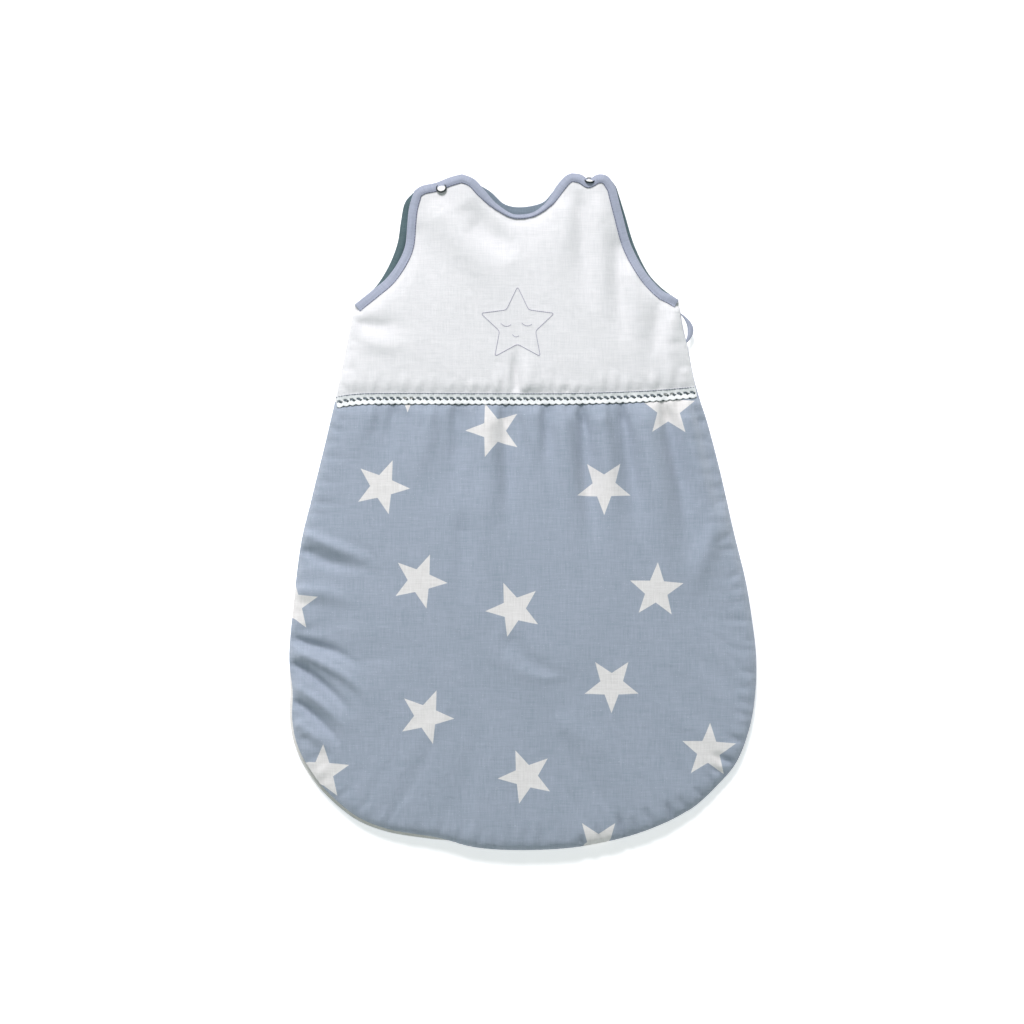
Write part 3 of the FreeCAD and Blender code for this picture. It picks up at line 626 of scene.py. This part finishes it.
def front_cloth():
    """The front as it lies: gathered into the waist seam, swollen over its wadding."""
    waist = smooth_run(WAIST_SEAM, CLOTH_STEP)
    strap = smooth_run([(-130, STRAP_Y / MM), (110, STRAP_Y / MM)], CLOTH_STEP)
    panel = Panel(SIDE_AND_HEM, FRONT_TOPS, [waist, strap], STARS, CLOTH_STEP)
    top, lining = front_surface(panel)
    seam_gap = panel.y - waist_at(panel.x)
    top = top - 4 * np.exp(-(seam_gap / 9) ** 2)
    folds = folded(panel.flat) * rounded(panel.edge, 9)
    loose = np.random.default_rng(7).normal(0, 0.12, len(top)) * (panel.edge > 6)
    start = np.column_stack([panel.flat, top + folds + loose])
    gather = np.where(seam_gap <= 0, 0.09 * np.exp(seam_gap / 100), 0.03 * np.exp(-seam_gap / 60))
    ease = 0.05 * np.exp(-panel.hem / 45)
    rest = start.copy()
    rest[:, 0] *= 1 + gather + ease
    rest[:, 1] = (rest[:, 1] + 40) * (1 + ease) - 40
    pinned = np.where(panel.edge < 3.6, 1.0, 0.0)
    taped = (np.abs(panel.top - 8.5) < 1.8) & (panel.hem > 3)
    pinned[((np.abs(seam_gap) < 2.2) | taped) & (pinned == 0)] = 0.85
    settled = settle("front_cloth", start, panel.faces, rest, pinned)
    moved = np.clip(settled - start, -MOST_MOVE, MOST_MOVE)
    return panel, flattened(start + moved), lining


def flattened(points, level=40, room=8):
    """The same points with crests above a level pressed down into a little room."""
    above = np.maximum(points[:, 2] - level, 0)
    points[:, 2] -= above - room * np.tanh(above / room)
    return points


FRONT_TOPS = [ARMHOLE_RIGHT, SHOULDER_RIGHT, NECK, SHOULDER_LEFT, ARMHOLE_LEFT]
BACK_TOPS = [BACK_ARMHOLE_RIGHT, BACK_SHOULDER_RIGHT, BACK_NECK, BACK_SHOULDER_LEFT,
             BACK_ARMHOLE_LEFT]


# ---------------------------------------------------------------- padded panels

def in_star(points):
    """Which points lie inside a printed star."""
    hit = np.zeros(len(points), bool)
    for x, y, turn in STARS:
        near = np.linalg.norm(points - (x, y), axis=1) < STAR_REACH
        hit[near] |= inside(points[near], star_line(x, y, turn))
    return hit


def add_object(name, mesh, finishes):
    """Link a finished mesh as a piece with its materials."""
    piece = bpy.data.objects.new(name, mesh)
    bpy.context.scene.collection.objects.link(piece)
    for finish in finishes:
        mesh.materials.append(finish)
    return piece


def made(name, mesh, finishes, smooth=True):
    """Turn a bmesh into a linked piece."""
    for face in mesh.faces:
        face.smooth = smooth
    data = bpy.data.meshes.new(name)
    mesh.to_mesh(data)
    mesh.free()
    return add_object(name, data, finishes)


def padded_piece(name, panel, top, under, chosen, finishes, top_is_outer=True):
    """Closed pad from the chosen faces: one sheet above, one below, sewn round the edge."""
    faces = [panel.faces[i] for i in np.nonzero(chosen)[0]]
    used = sorted({i for face in faces for i in face})
    edge_of = {}
    for face in faces:
        for a, b in zip(face, face[1:] + face[:1]):
            if (b, a) in edge_of:
                edge_of.pop((b, a))
            else:
                edge_of[(a, b)] = True
    sewn_edge = panel.edge < 0.05
    mesh = bmesh.new()
    pattern = mesh.loops.layers.uv.new("pattern")
    upper = {i: mesh.verts.new(top[i] * MM) for i in used}
    lower = {i: upper[i] if sewn_edge[i] else mesh.verts.new(under[i] * MM) for i in used}
    stars = in_star(np.array([panel.flat[face].mean(0) for face in faces]))
    for face, star in zip(faces, stars):
        front = mesh.faces.new([upper[i] for i in face])
        back = mesh.faces.new([lower[i] for i in reversed(face)])
        outer, inner = (front, back) if top_is_outer else (back, front)
        outer.material_index = 1 if star and len(finishes) > 2 else 0
        inner.material_index = len(finishes) - 1
    for a, b in edge_of:
        if not (sewn_edge[a] and sewn_edge[b]):
            corners = [upper[a], lower[a], lower[b], upper[b]]
            wall = [v for i, v in enumerate(corners) if v not in corners[:i]]
            mesh.faces.new(wall).material_index = 0
            for rim in ((upper[a], upper[b]), (lower[a], lower[b])):
                if rim[0] is not rim[1]:
                    mesh.edges.get(rim).smooth = False
    for i in used:
        for vert in {upper[i], lower[i]}:
            for loop in vert.link_loops:
                loop[pattern].uv = panel.flat[i] * MM
    return made(name, mesh, finishes)


class Cover:
    """Heights of a finished sheet of cloth, found straight above any place."""

    def __init__(self, points, faces):
        self.tree = BVHTree.FromPolygons([tuple(p) for p in points], faces)

    def at(self, x, y):
        hit = self.tree.ray_cast((x, y, 300), (0, 0, -1))[0]
        return hit.z if hit else self.tree.find_nearest((x, y, 12))[0].z

    def tilt(self, x, y):
        """Upward direction of the cloth round a place."""
        rise_x = (self.at(x + 3, y) - self.at(x - 3, y)) / 6
        rise_y = (self.at(x, y + 3) - self.at(x, y - 3)) / 6
        return Vector((-rise_x, -rise_y, 1)).normalized()


# ---------------------------------------------------------------- strips, stitches and trims

def strip(name, rows, finishes, thick=0.5, smooth_rows=1, hole=None, closed=False):
    """A strip of cloth through rows of places in millimetres, with its pattern laid along it.

    hole says which of its squares are left open; closed joins its long edges into a tube.
    """
    rows = np.array(rows)
    if smooth_rows > 1:
        reach = smooth_rows // 2
        padded_rows = np.pad(rows[:, :, 2], ((reach, reach), (0, 0)), "edge")
        rows[:, :, 2] = np.mean([padded_rows[i:i + len(rows)] for i in range(smooth_rows)], axis=0)
    count, wide = rows.shape[:2]
    mesh = bmesh.new()
    bmesh.ops.create_grid(mesh, x_segments=wide - 1, y_segments=count - 1, size=1)
    along, across = lengths_along(rows[:, wide // 2]), lengths_along(rows[count // 2])
    pattern = mesh.loops.layers.uv.new("pattern")
    mesh.verts.ensure_lookup_table()
    for i, vert in enumerate(mesh.verts):
        row, column = divmod(i, wide)
        vert.co = Vector(rows[row, column]) * MM
        for loop in vert.link_loops:
            loop[pattern].uv = (along[row] * MM, across[column] * MM)
    if hole:
        squares = {face: divmod(min(vert.index for vert in face.verts), wide) for face in mesh.faces}
        bmesh.ops.delete(mesh, geom=[face for face, square in squares.items() if hole(*square)],
                         context="FACES")
    if closed:
        bmesh.ops.remove_doubles(mesh, verts=mesh.verts, dist=0.01 * MM)
        bmesh.ops.holes_fill(mesh, edges=[edge for edge in mesh.edges if edge.is_boundary])
        bmesh.ops.recalc_face_normals(mesh, faces=mesh.faces)
    piece = made(name, mesh, finishes)
    if thick:
        cloth = piece.modifiers.new("cloth thickness", "SOLIDIFY")
        cloth.thickness = thick * MM
        cloth.offset = 0
        soft = piece.modifiers.new("soft", "SUBSURF")
        soft.levels = soft.render_levels = 1
    return piece


def into_cloth(line, reach=6):
    """Direction into the cloth at each point of an edge, turned gently round corners."""
    tangent = np.gradient(line, axis=0)
    into = np.pad(np.column_stack([-tangent[:, 1], tangent[:, 0]]), ((reach, reach), (0, 0)), "edge")
    window = np.hanning(2 * reach + 3)[1:-1]
    into = np.column_stack([np.convolve(into[:, axis], window, "valid") for axis in (0, 1)])
    return into / np.linalg.norm(into, axis=1, keepdims=True)


# Binding section from its stitched top edge, over the fold, to its under edge: how far in from
# the sewn edge, which side of the pad it lies on, and how far it stands off.
TAPE_SECTION = [(8.5, 1, 0.2), (8.1, 1, 0.8), (7.3, 1, 0.4), (6.5, 1, 1.0), (4.8, 1, 1.35),
                (2.6, 1, 1.3), (0.8, 1, 0.7), (-0.6, 0, 1.0), (-0.9, 0, -0.6), (0.3, -1, 0.6),
                (2.2, -1, 0.9), (5, -1, 0.9), (7.6, -1, 0.7), (8.2, -1, 0.2)]
TAPE_SEAM = 7.9


def binding(name, line, over, under, finish, width):
    """Folded tape sewn over an edge of a pad; width widens or narrows its upper side."""
    rows = []
    for (x, y), (in_x, in_y) in zip(line, into_cloth(line)):
        edge = over.at(x + 0.2 * in_x, y + 0.2 * in_y)
        row = []
        for inward, side, lift in TAPE_SECTION:
            inward *= width(x, y) if side == 1 else 1
            place = (x + inward * in_x, y + inward * in_y)
            level = {1: over.at, -1: under.at, 0: lambda *spot: edge}[side](*place)
            row.append((*place, level + (side or 1) * lift))
        rows.append(row)
    piece = strip(name, rows, [finish], smooth_rows=5)
    return piece, (BIAS_CUT, steps_of(line).sum() * MM)


def tape_seam(line, width):
    """The line along which a binding's upper side is stitched."""
    return line + TAPE_SEAM * np.array([[width(x, y)] for x, y in line]) * into_cloth(line)


def stitches(name, line, over, finish, length, gap, thick, lift):
    """A row of small sewn stitches along a line, lying on the cloth below."""
    along = lengths_along(line)
    mesh = bmesh.new()
    for start in np.arange(0, along[-1] - length, length + gap):
        ends = [np.array(places_at(start + part, along, line)) for part in (0, length)]
        low, high = [Vector((*end, over.at(*end) + lift)) for end in ends]
        ahead = (high - low).normalized()
        up = over.tilt(*(ends[0] + ends[1]) / 2)
        side = up.cross(ahead).normalized()
        basis = np.column_stack([side * thick / 2, ahead.cross(side) * thick / 2,
                                 ahead * (length / 2 + 0.25)])
        frame_of = Matrix(basis).to_4x4()
        frame_of.translation = (low + high) / 2
        bmesh.ops.create_uvsphere(mesh, u_segments=6, v_segments=4, radius=1,
                                  matrix=Matrix.Scale(MM, 4) @ frame_of)
    bmesh.ops.recalc_face_normals(mesh, faces=mesh.faces)
    return made(name, mesh, [finish])


def offset_line(line, inward, reach=6):
    """The line a distance inside an edge; reach evens its turns out."""
    return line + inward * into_cloth(line, reach)


LACE_PITCH = 6.9
LACE_STEPS = 6
# Heights across the lace above the waist seam, from its top edge down to its eyelets.
LACE_ROWS = [4.6, 3.4, 2.2, 1.0, -0.1, -1.0, -1.9, -2.8, -3.7, -4.7]
EYELET = {(1, 4), (1, 5), (2, 4), (2, 5), (3, 4), (3, 5), (3, 6), (4, 5), (4, 6), (4, 7), (5, 6)}


def lace_trim(waist, over):
    """Scalloped eyelet lace laid over the waist seam."""
    up = into_cloth(waist, 2)
    rows = []
    for i, ((x, y), (up_x, up_y)) in enumerate(zip(waist, up)):
        scallop = abs(math.sin(math.pi * (i % LACE_STEPS) / LACE_STEPS)) ** 0.7
        row = []
        for height in LACE_ROWS + [-5.2 - 0.9 * scallop, -6.0 - 1.7 * scallop]:
            place = (x + height * up_x, y + height * up_y)
            rib = 0.3 * (math.sin(2 * math.pi * i / LACE_STEPS) > 0) if height > 0 else 0
            row.append((*place, over.at(*place) + 0.8 + rib + 0.12 * max(0, -3 - height)))
        rows.append(row)
    return strip("waist_lace_trim", rows, [LACE_YARN], thick=0.9,
                 hole=lambda row, column: (row % LACE_STEPS, column) in EYELET)


def motif_star(corner=3):
    """Outline of the embroidered star, its corners rounded."""
    corners = [(-5.7 + reach * math.cos(math.radians(90 + 36 * i)),
                192.6 + reach * math.sin(math.radians(90 + 36 * i)))
               for i, reach in enumerate([40, 19.5] * 5)]
    line = np.concatenate([smooth_run([corners[i - 1], corners[i]], 0.8)[:-1] for i in range(10)])
    soft = np.concatenate([line[-corner:], line, line[:corner]])
    window = np.ones(2 * corner + 1) / (2 * corner + 1)
    line = np.column_stack([np.convolve(soft[:, axis], window, "valid") for axis in (0, 1)])
    return np.concatenate([line, line[:2]])


def arc_line(x, y, wide, drop):
    """A short smiling arc."""
    return smooth_run([(x - wide / 2, y), (x - wide / 4, y - 0.75 * drop), (x, y - drop),
                       (x + wide / 4, y - 0.75 * drop), (x + wide / 2, y)], 0.7)


def spun(name, outline, steps, place, finishes):
    """A round piece spun from its half section, set at a place."""
    mesh = bmesh.new()
    verts = [mesh.verts.new((radius * MM, 0, height * MM)) for radius, height in outline]
    edges = [mesh.edges.new(pair) for pair in zip(verts, verts[1:])]
    bmesh.ops.spin(mesh, geom=verts + edges, cent=(0, 0, 0), axis=(0, 0, 1), dvec=(0, 0, 0),
                   angle=2 * math.pi, steps=steps, use_merge=True, use_duplicate=False)
    bmesh.ops.remove_doubles(mesh, verts=mesh.verts, dist=0.01 * MM)
    bmesh.ops.recalc_face_normals(mesh, faces=mesh.faces)
    bmesh.ops.transform(mesh, matrix=place, verts=mesh.verts)
    return made(name, mesh, finishes)


SNAP_RING = [(4.35, 0.1), (4.3, 0.8), (4.6, 1.25), (5.0, 1.35), (5.4, 1.1), (5.6, 0.5), (5.5, -0.4),
             (4.6, -0.4), (4.35, 0.1)]
SNAP_DOME = [(0, 1.15), (1.2, 1.12), (2.6, 0.95), (3.7, 0.6), (4.4, 0.1), (4.4, -0.4), (0, -0.4)]


def snap(side, x, y, up, lift, over):
    """Snap cap on a shoulder: a plated ring darkened with painted shade, round a white dome."""
    level = over.at(x, y) + lift
    turn = Vector((0, 0, 1)).rotation_difference(Vector(up).normalized()).to_matrix().to_4x4()
    place = Matrix.Translation(Vector((x, y, level)) * MM) @ turn
    ring = spun(f"snap_rim_{side}", SNAP_RING, 40, place, [SNAP_METAL_PAINTED_SHADE])
    dome = spun(f"snap_dome_{side}", SNAP_DOME, 32, place, [SNAP_NYLON])
    return ring, dome


ZIP_PITCH = 3.0


def zip_teeth(name, line, heights, shift):
    """Moulded teeth along a zip tape, every other gap left for the other side's teeth."""
    tooth = bmesh.new()
    bmesh.ops.create_cube(tooth, size=1)
    low, high = heights
    bmesh.ops.scale(tooth, vec=(1.25, 3.4, high - low), verts=tooth.verts)
    bmesh.ops.bevel(tooth, geom=tooth.edges[:], offset=0.3, offset_type="OFFSET", segments=1,
                    profile=0.5, affect="EDGES", material=-1)
    pattern = bpy.data.meshes.new("tooth")
    tooth.to_mesh(pattern)
    tooth.free()
    along = lengths_along(line)
    mesh = bmesh.new()
    for start in np.arange(1.5 + shift, along[-1] - 1, ZIP_PITCH):
        x, y = places_at(start, along, line)
        ahead_x, ahead_y = places_at(start + 0.5, along, line)
        turn = Matrix.Rotation(math.atan2(ahead_y - y, ahead_x - x), 4, "Z")
        place = Matrix.Translation((x, y, (low + high) / 2)) @ turn
        count = len(mesh.verts)
        mesh.from_mesh(pattern)
        mesh.verts.ensure_lookup_table()
        bmesh.ops.transform(mesh, matrix=Matrix.Scale(MM, 4) @ place, verts=mesh.verts[count:])
    bpy.data.meshes.remove(pattern)
    return made(name, mesh, [ZIP_NYLON], smooth=False)


def zip_tape(name, line, cover, lift):
    """Woven tape carrying one side's teeth, sewn along the edge of a pad."""
    rows = []
    for (x, y), (in_x, in_y) in zip(line, into_cloth(line)):
        places = [(x + inward * in_x, y + inward * in_y) for inward in (-3.2, -1, 2, 5, 7.5)]
        rows.append([(*place, cover.at(*place) + lift) for place in reversed(places)])
    return strip(name, rows, [ZIP_CLOTH], smooth_rows=5), (ZIP_TAPE_CUT, steps_of(line).sum() * MM)


def hanging_loop():
    """Folded tape loop caught in the right side seam by both its ends."""
    rows = []
    for part in np.linspace(0, 1, 31):
        y = 206 - 33 * part
        bulge = math.sin(math.pi * part)
        root = 161.5 + 3.5 * part + 7.4 * bulge ** 0.7
        out = root + 1.5 + 4.5 * bulge
        middle = (root + out) / 2
        dip = 0.9 * math.sin(5 * part)
        rows.append([(root, y, 9.0), (middle, y, 9.6 + dip), (out - 0.7, y, 9.6 + dip),
                     (out, y, 9.0 + dip), (out - 0.7, y, 8.3 + dip), (middle, y, 8.1 + 0.6 * dip),
                     (root, y, 8.1)])
    return strip("side_hanging_loop", rows, [TAPE_BLUE], thick=0.6), (0.012, 0.036)


def side_piping(line, level):
    """Rolled seam closing the right side between front and back."""
    rows = []
    for (x, y), (in_x, in_y) in zip(line, into_cloth(line)):
        rows.append([(x + (0.6 + 1.1 * math.cos(turn)) * in_x, y + (0.6 + 1.1 * math.cos(turn)) * in_y,
                      level + 1.1 * math.sin(turn)) for turn in np.linspace(0, 2 * math.pi, 9)])
    return strip("side_seam_roll", rows, [TAPE_BLUE], thick=0, closed=True)


# ---------------------------------------------------------------- back of the bag

BACK_STARS = [(-x, y, 180 - turn) for x, y, turn in STARS]


def back_cloth():
    """Lining on top and printed cloth beneath, flat where the back lies on the floor."""
    waist = smooth_run([(-x, y) for x, y in reversed(WAIST_SEAM)], 4.2)
    panel = Panel(BACK_HEM, BACK_TOPS, [waist], BACK_STARS, 4.2)
    side = sewn(panel.x)
    thin = 1 - 0.67 * smooth_step((panel.y - 290) / 20)
    border = 4 + 4 * side
    top = 4 + 4 * side * (1 - rounded(panel.edge, 20)) + 3 * (1 - side) * thin * rounded(panel.edge, 8)
    top = top + 3.5 * smooth_step(panel.edge / 60)
    ripple = np.array([noise.noise((x / 45, y / 30, 3)) + 0.5 * noise.noise((x / 16, y / 22, 9))
                       for x, y in panel.flat])
    top = top + 1.1 * ripple * smooth_step((panel.edge - 6) / 25)
    taped = 1.3 * (1 - smooth_step((panel.top - 9) / 6))
    under = 0.2 + taped + (border - 0.2 - taped) * (1 - rounded(panel.edge, 10))
    return panel, np.column_stack([panel.flat, top]), np.column_stack([panel.flat, under])


# ---------------------------------------------------------------- studio

def studio():
    """Pale floor, soft light from the head end, and a camera looking straight down."""
    mesh = bmesh.new()
    bmesh.ops.create_grid(mesh, x_segments=1, y_segments=1, size=6)
    paper = Finish("pale_paper", roughness=0.95)
    grain = paper.noise(paper.place(), 9, detail=2)
    paper.feed("Base Color", paper.blend(grain, (0.90, 0.90, 0.90), (0.93, 0.93, 0.93)))
    paper.shader.inputs["Emission Color"].default_value = (1, 1, 1, 1)
    paper.shader.inputs["Emission Strength"].default_value = FLOOR_GLOW
    made("studio_floor", mesh, [paper.material], smooth=False)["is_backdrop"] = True
    world = bpy.data.worlds.new("studio")
    world.use_nodes = True
    sky = world.node_tree.nodes["Background"]
    sky.inputs["Color"].default_value = (*SKY_COLOUR, 1)
    sky.inputs["Strength"].default_value = SKY_STRENGTH
    bpy.context.scene.world = world
    for name, place, wide, strength, colour in LAMPS:
        lamp = bpy.data.lights.new(name, "SUN")
        lamp.angle = math.radians(wide)
        lamp.energy = strength
        lamp.color = colour
        stand = bpy.data.objects.new(name, lamp)
        stand.location = place
        stand.rotation_euler = (-Vector(place)).to_track_quat("-Z", "Y").to_euler()
        bpy.context.scene.collection.objects.link(stand)
    camera = bpy.data.cameras.new("camera")
    camera.lens = 36 * CAMERA_HEIGHT / 1.0604
    camera.clip_end = 50
    eye = bpy.data.objects.new("camera", camera)
    eye.location = (-0.0114, 0, CAMERA_HEIGHT + 0.0125)
    bpy.context.scene.collection.objects.link(eye)
    bpy.context.scene.camera = eye
    bpy.context.scene.view_settings.view_transform = "Standard"


CAMERA_HEIGHT = 4.0
FLOOR_GLOW = 0.42
SKY_COLOUR = (0.86, 1.0, 0.98)
SKY_STRENGTH = 0.36
# Lamps: where each shines from, how wide it looks in degrees, its strength and its colour.
LAMPS = [("head_light", (-0.5, 2.3, 1.95), 20, 3.45, (1.0, 0.95, 1.0)),
         ("fill_light", (-1.6, -1.6, 3.0), 60, 0.3, (1.0, 0.97, 1.0))]


# ---------------------------------------------------------------- putting the bag together

FRONT_BEND = ("back", "front_flap", (FOLD_X + 0.02, 0, 0.02), (FOLD_X - 0.02, 0, 0.02))
STRAP_BEND = {side: ("front_flap", f"shoulder_{side}", (0, STRAP_Y, 0.02),
                     (0, STRAP_Y + 0.016, 0.02)) for side in ("left", "right")}


def moves(piece, mover, slot, *stands_for):
    """Attach a piece to the body that moves it, or fix it in place when the mover is a bend, and hide
    the solids it stands for; slot is not used.
    """
    if stands_for:
        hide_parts(*stands_for)
    if isinstance(mover, str):
        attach(piece, mover)
    else:
        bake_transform(piece)
    return piece


def pad(name, sheets, chosen, finishes, fill, mover, slot, *stands_for, top_is_outer=True):
    """Make and place one padded panel."""
    piece = padded_piece(name, *sheets, chosen, finishes, top_is_outer)
    moves(piece, mover, slot, *stands_for)


PRINTED = [SKIRT_BLUE, STAR_PRINT, LINING]
PLAIN = [BODICE_WHITE, LINING]


def even_width(x, y):
    return 1.0


def front_width(x, y):
    """The front binding rolls over at the middle of the neck, where only half of it shows."""
    return 1 - 0.55 * float(smooth_step((338 - y) / 31)) * (abs(x + 5) < 60)


def back_neck_width(x, y):
    return 1.45


studio()

# Front: one settled sheet, parted at the waist and at the shoulders.
front, front_top, front_lining = front_cloth()
front_under = np.column_stack([front.flat, np.minimum(front_lining, front_top[:, 2] - 1.2)])
front_under[front.edge < 0.05, 2] = front_top[front.edge < 0.05, 2]
over = Cover(front_top, front.faces)
under = Cover(front_under, front.faces)
middle = np.array([front.flat[face].mean(0) for face in front.faces])
on_skirt = middle[:, 1] < waist_at(middle[:, 0])
on_strap = middle[:, 1] > STRAP_Y / MM
front_sheets = (front, front_top, front_under)
pad("skirt_front", front_sheets, on_skirt, PRINTED, 0.55, FRONT_BEND, "printed_cotton",
    "front_skirt", "side_skirt", "front_wadding", "side_wadding", "front_lining", "side_lining")
pad("bodice_front", front_sheets, ~on_skirt & ~on_strap, PLAIN, 0.5, FRONT_BEND, "white_cotton",
    "front_bodice", "side_bodice")
for side, chosen in (("left", middle[:, 0] < 0), ("right", middle[:, 0] > 0)):
    pad(f"shoulder_strap_{side}", front_sheets, on_strap & chosen, PLAIN, 0.35, STRAP_BEND[side],
        "white_cotton", f"shoulder_cloth_{side}", f"shoulder_wadding_{side}",
        f"shoulder_lining_{side}")

# Back: two pads lying on the floor.
back, back_top, back_under = back_cloth()
back_over = Cover(back_top, back.faces)
back_below = Cover(back_under, back.faces)
middle = np.array([back.flat[face].mean(0) for face in back.faces])
on_skirt = middle[:, 1] < waist_at(-middle[:, 0])
back_sheets = (back, back_top, back_under)
pad("back_skirt_pad", back_sheets, on_skirt, PRINTED, 0.4, "back", "printed_cotton", "back_skirt",
    "back_wadding", "back_lining", top_is_outer=False)
pad("back_bodice_pad", back_sheets, ~on_skirt, PLAIN, 0.4, "back", "white_cotton", "back_bodice",
    top_is_outer=False)

# Bindings on the front's neck, armholes and shoulders.
TAPE_STEP = 2.2
tops = np.concatenate([smooth_run(run, TAPE_STEP)[:-1] for run in FRONT_TOPS])
tops = np.concatenate([tops, [FRONT_TOPS[-1][-1]]])
high = tops[:, 1] > STRAP_Y / MM
turns = np.nonzero(np.diff(high.astype(int)))[0]
TAPED = [("armhole_tape_right", 0, turns[0], "armhole_binding_right", None),
         ("shoulder_tape_right", turns[0], turns[1], "shoulder_binding_right", "right"),
         ("neck_tape", turns[1], turns[2], "neck_binding", None),
         ("shoulder_tape_left", turns[2], turns[3], "shoulder_binding_left", "left"),
         ("armhole_tape_left", turns[3], len(tops) - 2, "armhole_binding_left", None)]
for name, first, last, node, side in TAPED:
    line = tops[first:last + 2]
    tape, flat = binding(name, line, over, under, TAPE_BLUE, front_width)
    mover = STRAP_BEND[side] if side else "front_flap"
    moves(tape, mover, "binding_cotton", node)
    sewing = stitches(f"{name}_stitches", tape_seam(line, front_width), over, SEAM_THREAD, 2.6, 0.35,
                      0.9, 0.95)
    moves(sewing, mover, "motif_thread")

# Bindings on the back's neck and armholes, in the binding cotton darkened with painted shade.
for name, runs, node, finish, width in [
        ("back_armhole_tape_right", BACK_TOPS[:2], "back_armhole_binding_right", BACK_ARMHOLE_TAPE_PAINTED_DEEP_SHADE,
         even_width),
        ("back_neck_tape", BACK_TOPS[2:3], "back_neck_binding", BACK_NECK_TAPE_PAINTED_SHADE, back_neck_width),
        ("back_armhole_tape_left", BACK_TOPS[3:], "back_armhole_binding_left", BACK_ARMHOLE_TAPE_PAINTED_DEEP_SHADE,
         even_width)]:
    line = np.concatenate([smooth_run(run, TAPE_STEP)[:-1] for run in runs] + [[runs[-1][-1]]])
    tape, flat = binding(name, line, back_over, back_below, finish, width)
    moves(tape, "back", "binding_cotton", node)
    sewing = stitches(f"{name}_stitches", tape_seam(line, width), back_over, SEAM_THREAD, 2.4, 0.6,
                      0.6, 0.45)
    moves(sewing, "back", "motif_thread")

# Lace over the waist seam, with its stitching and two near-black thread lines that are painted shade
# in its eyelets and under its scallops.
waist = smooth_run(WAIST_SEAM, LACE_PITCH / LACE_STEPS)
border = closed_line([SIDE_AND_HEM] + FRONT_TOPS, 2.0)
waist = waist[inside(waist, border)]
lace = lace_trim(waist, over)
steps_of(waist).sum() * MM
moves(lace, FRONT_BEND, "lace", "waist_lace", "side_lace")
# The two near-black lines below the top stitches are painted shade, not real seams.
for name, height, finish, wide, lift in [("lace_top_stitches", 3.9, SEAM_THREAD, 1.0, 1.5),
                                         ("lace_eyelet_painted_shade", -2.4, PAINTED_SHADE_THREAD, 2.6, 0.1),
                                         ("lace_scallop_painted_shade", -7.3, PAINTED_SHADE_THREAD, 1.5, 0.1)]:
    sewing = stitches(name, offset_line(waist, height, 2), over, finish, 2.6, 0.2, wide, lift)
    moves(sewing, FRONT_BEND, "motif_thread")

# Embroidered sleepy star.
for name, line, wide in [("motif_star_line", motif_star(), 0.95),
                         ("motif_eye_left", arc_line(-17, 194.5, 12, 3.2), 0.8),
                         ("motif_eye_right", arc_line(4.5, 195, 12, 3.2), 0.8),
                         ("motif_smile", arc_line(-7, 183, 8, 2.6), 0.8)]:
    sewing = stitches(name, line, over, MOTIF_THREAD, 1.9, 0.15, wide, 0.15)
    moves(sewing, "front_flap", "motif_thread", *(["star_motif"] if name == "motif_star_line" else []))

# Shoulder snaps.
for side, x, y, up, lift in [("left", -84.5, 335, (-0.1, 0.5, 0.86), 1.5),
                             ("right", 69, 343, (0.05, 0.85, 0.5), 0.4)]:
    rim, dome = snap(side, x, y, up, lift, over)
    moves(rim, f"shoulder_{side}", "snap_metal", f"snap_ring_{side}")
    moves(dome, f"shoulder_{side}", "snap_white", f"snap_centre_{side}")

# Zip round the left side and the hem.
edge_line = smooth_run(SIDE_AND_HEM, 2.6)
zip_line = offset_line(edge_line, 5.3)
zip_line = zip_line[(zip_line[:, 1] < 206) & ((zip_line[:, 0] < 155.5) & (edge_line[:, 1] < 210))]
zip_line = zip_line[(zip_line[:, 1] < -290) | (zip_line[:, 0] < 0)]
for name, cover, lift, mover, node, heights, shift in [
        ("back", back_over, 0.4, "back", "zip_tape_back", (7.3, 10.2), 0),
        ("front", under, -0.4, FRONT_BEND, "zip_tape_front", (9.3, 12.3), ZIP_PITCH / 2)]:
    tape, flat = zip_tape(f"zip_tape_cloth_{name}", zip_line, cover, lift)
    "back_skirt_pad" if name == "back" else "skirt_front"
    moves(tape, mover, "zip_tape", node)
    teeth = zip_teeth(f"zip_teeth_row_{name}", zip_line, heights, shift)
    moves(teeth, mover, "zip_teeth", f"zip_teeth_{name}")

# Right side: rolled seam and hanging loop.
seam_line = edge_line[(edge_line[:, 0] > 162) & (edge_line[:, 1] > -310) & (edge_line[:, 1] < 212)]
moves(side_piping(seam_line, 8.4), "back", "binding_cotton", "side_seam")
loop, flat = hanging_loop()
moves(loop, "back", "binding_cotton", "underarm_loop")

# Metal parts that keep their shape.
SNAP_PARTS = [f"{part}_{side}" for part in ("snap_socket", "snap_stud", "snap_back_ring")
              for side in ("left", "right")]
ZIP_PARTS = ["zip_slider", "zip_pull", "zip_stop_back", "zip_stop_front", "zip_stop_bottom"]
# The snap parts take the same plated metal, darkened with painted shade.
for nodes, finish in ((ZIP_PARTS, ZIP_METAL), (SNAP_PARTS, SNAP_METAL_PAINTED_SHADE)):
    for node in nodes:
        for material_slot in frame["nodes"][node].material_slots:
            material_slot.material = finish

low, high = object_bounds()
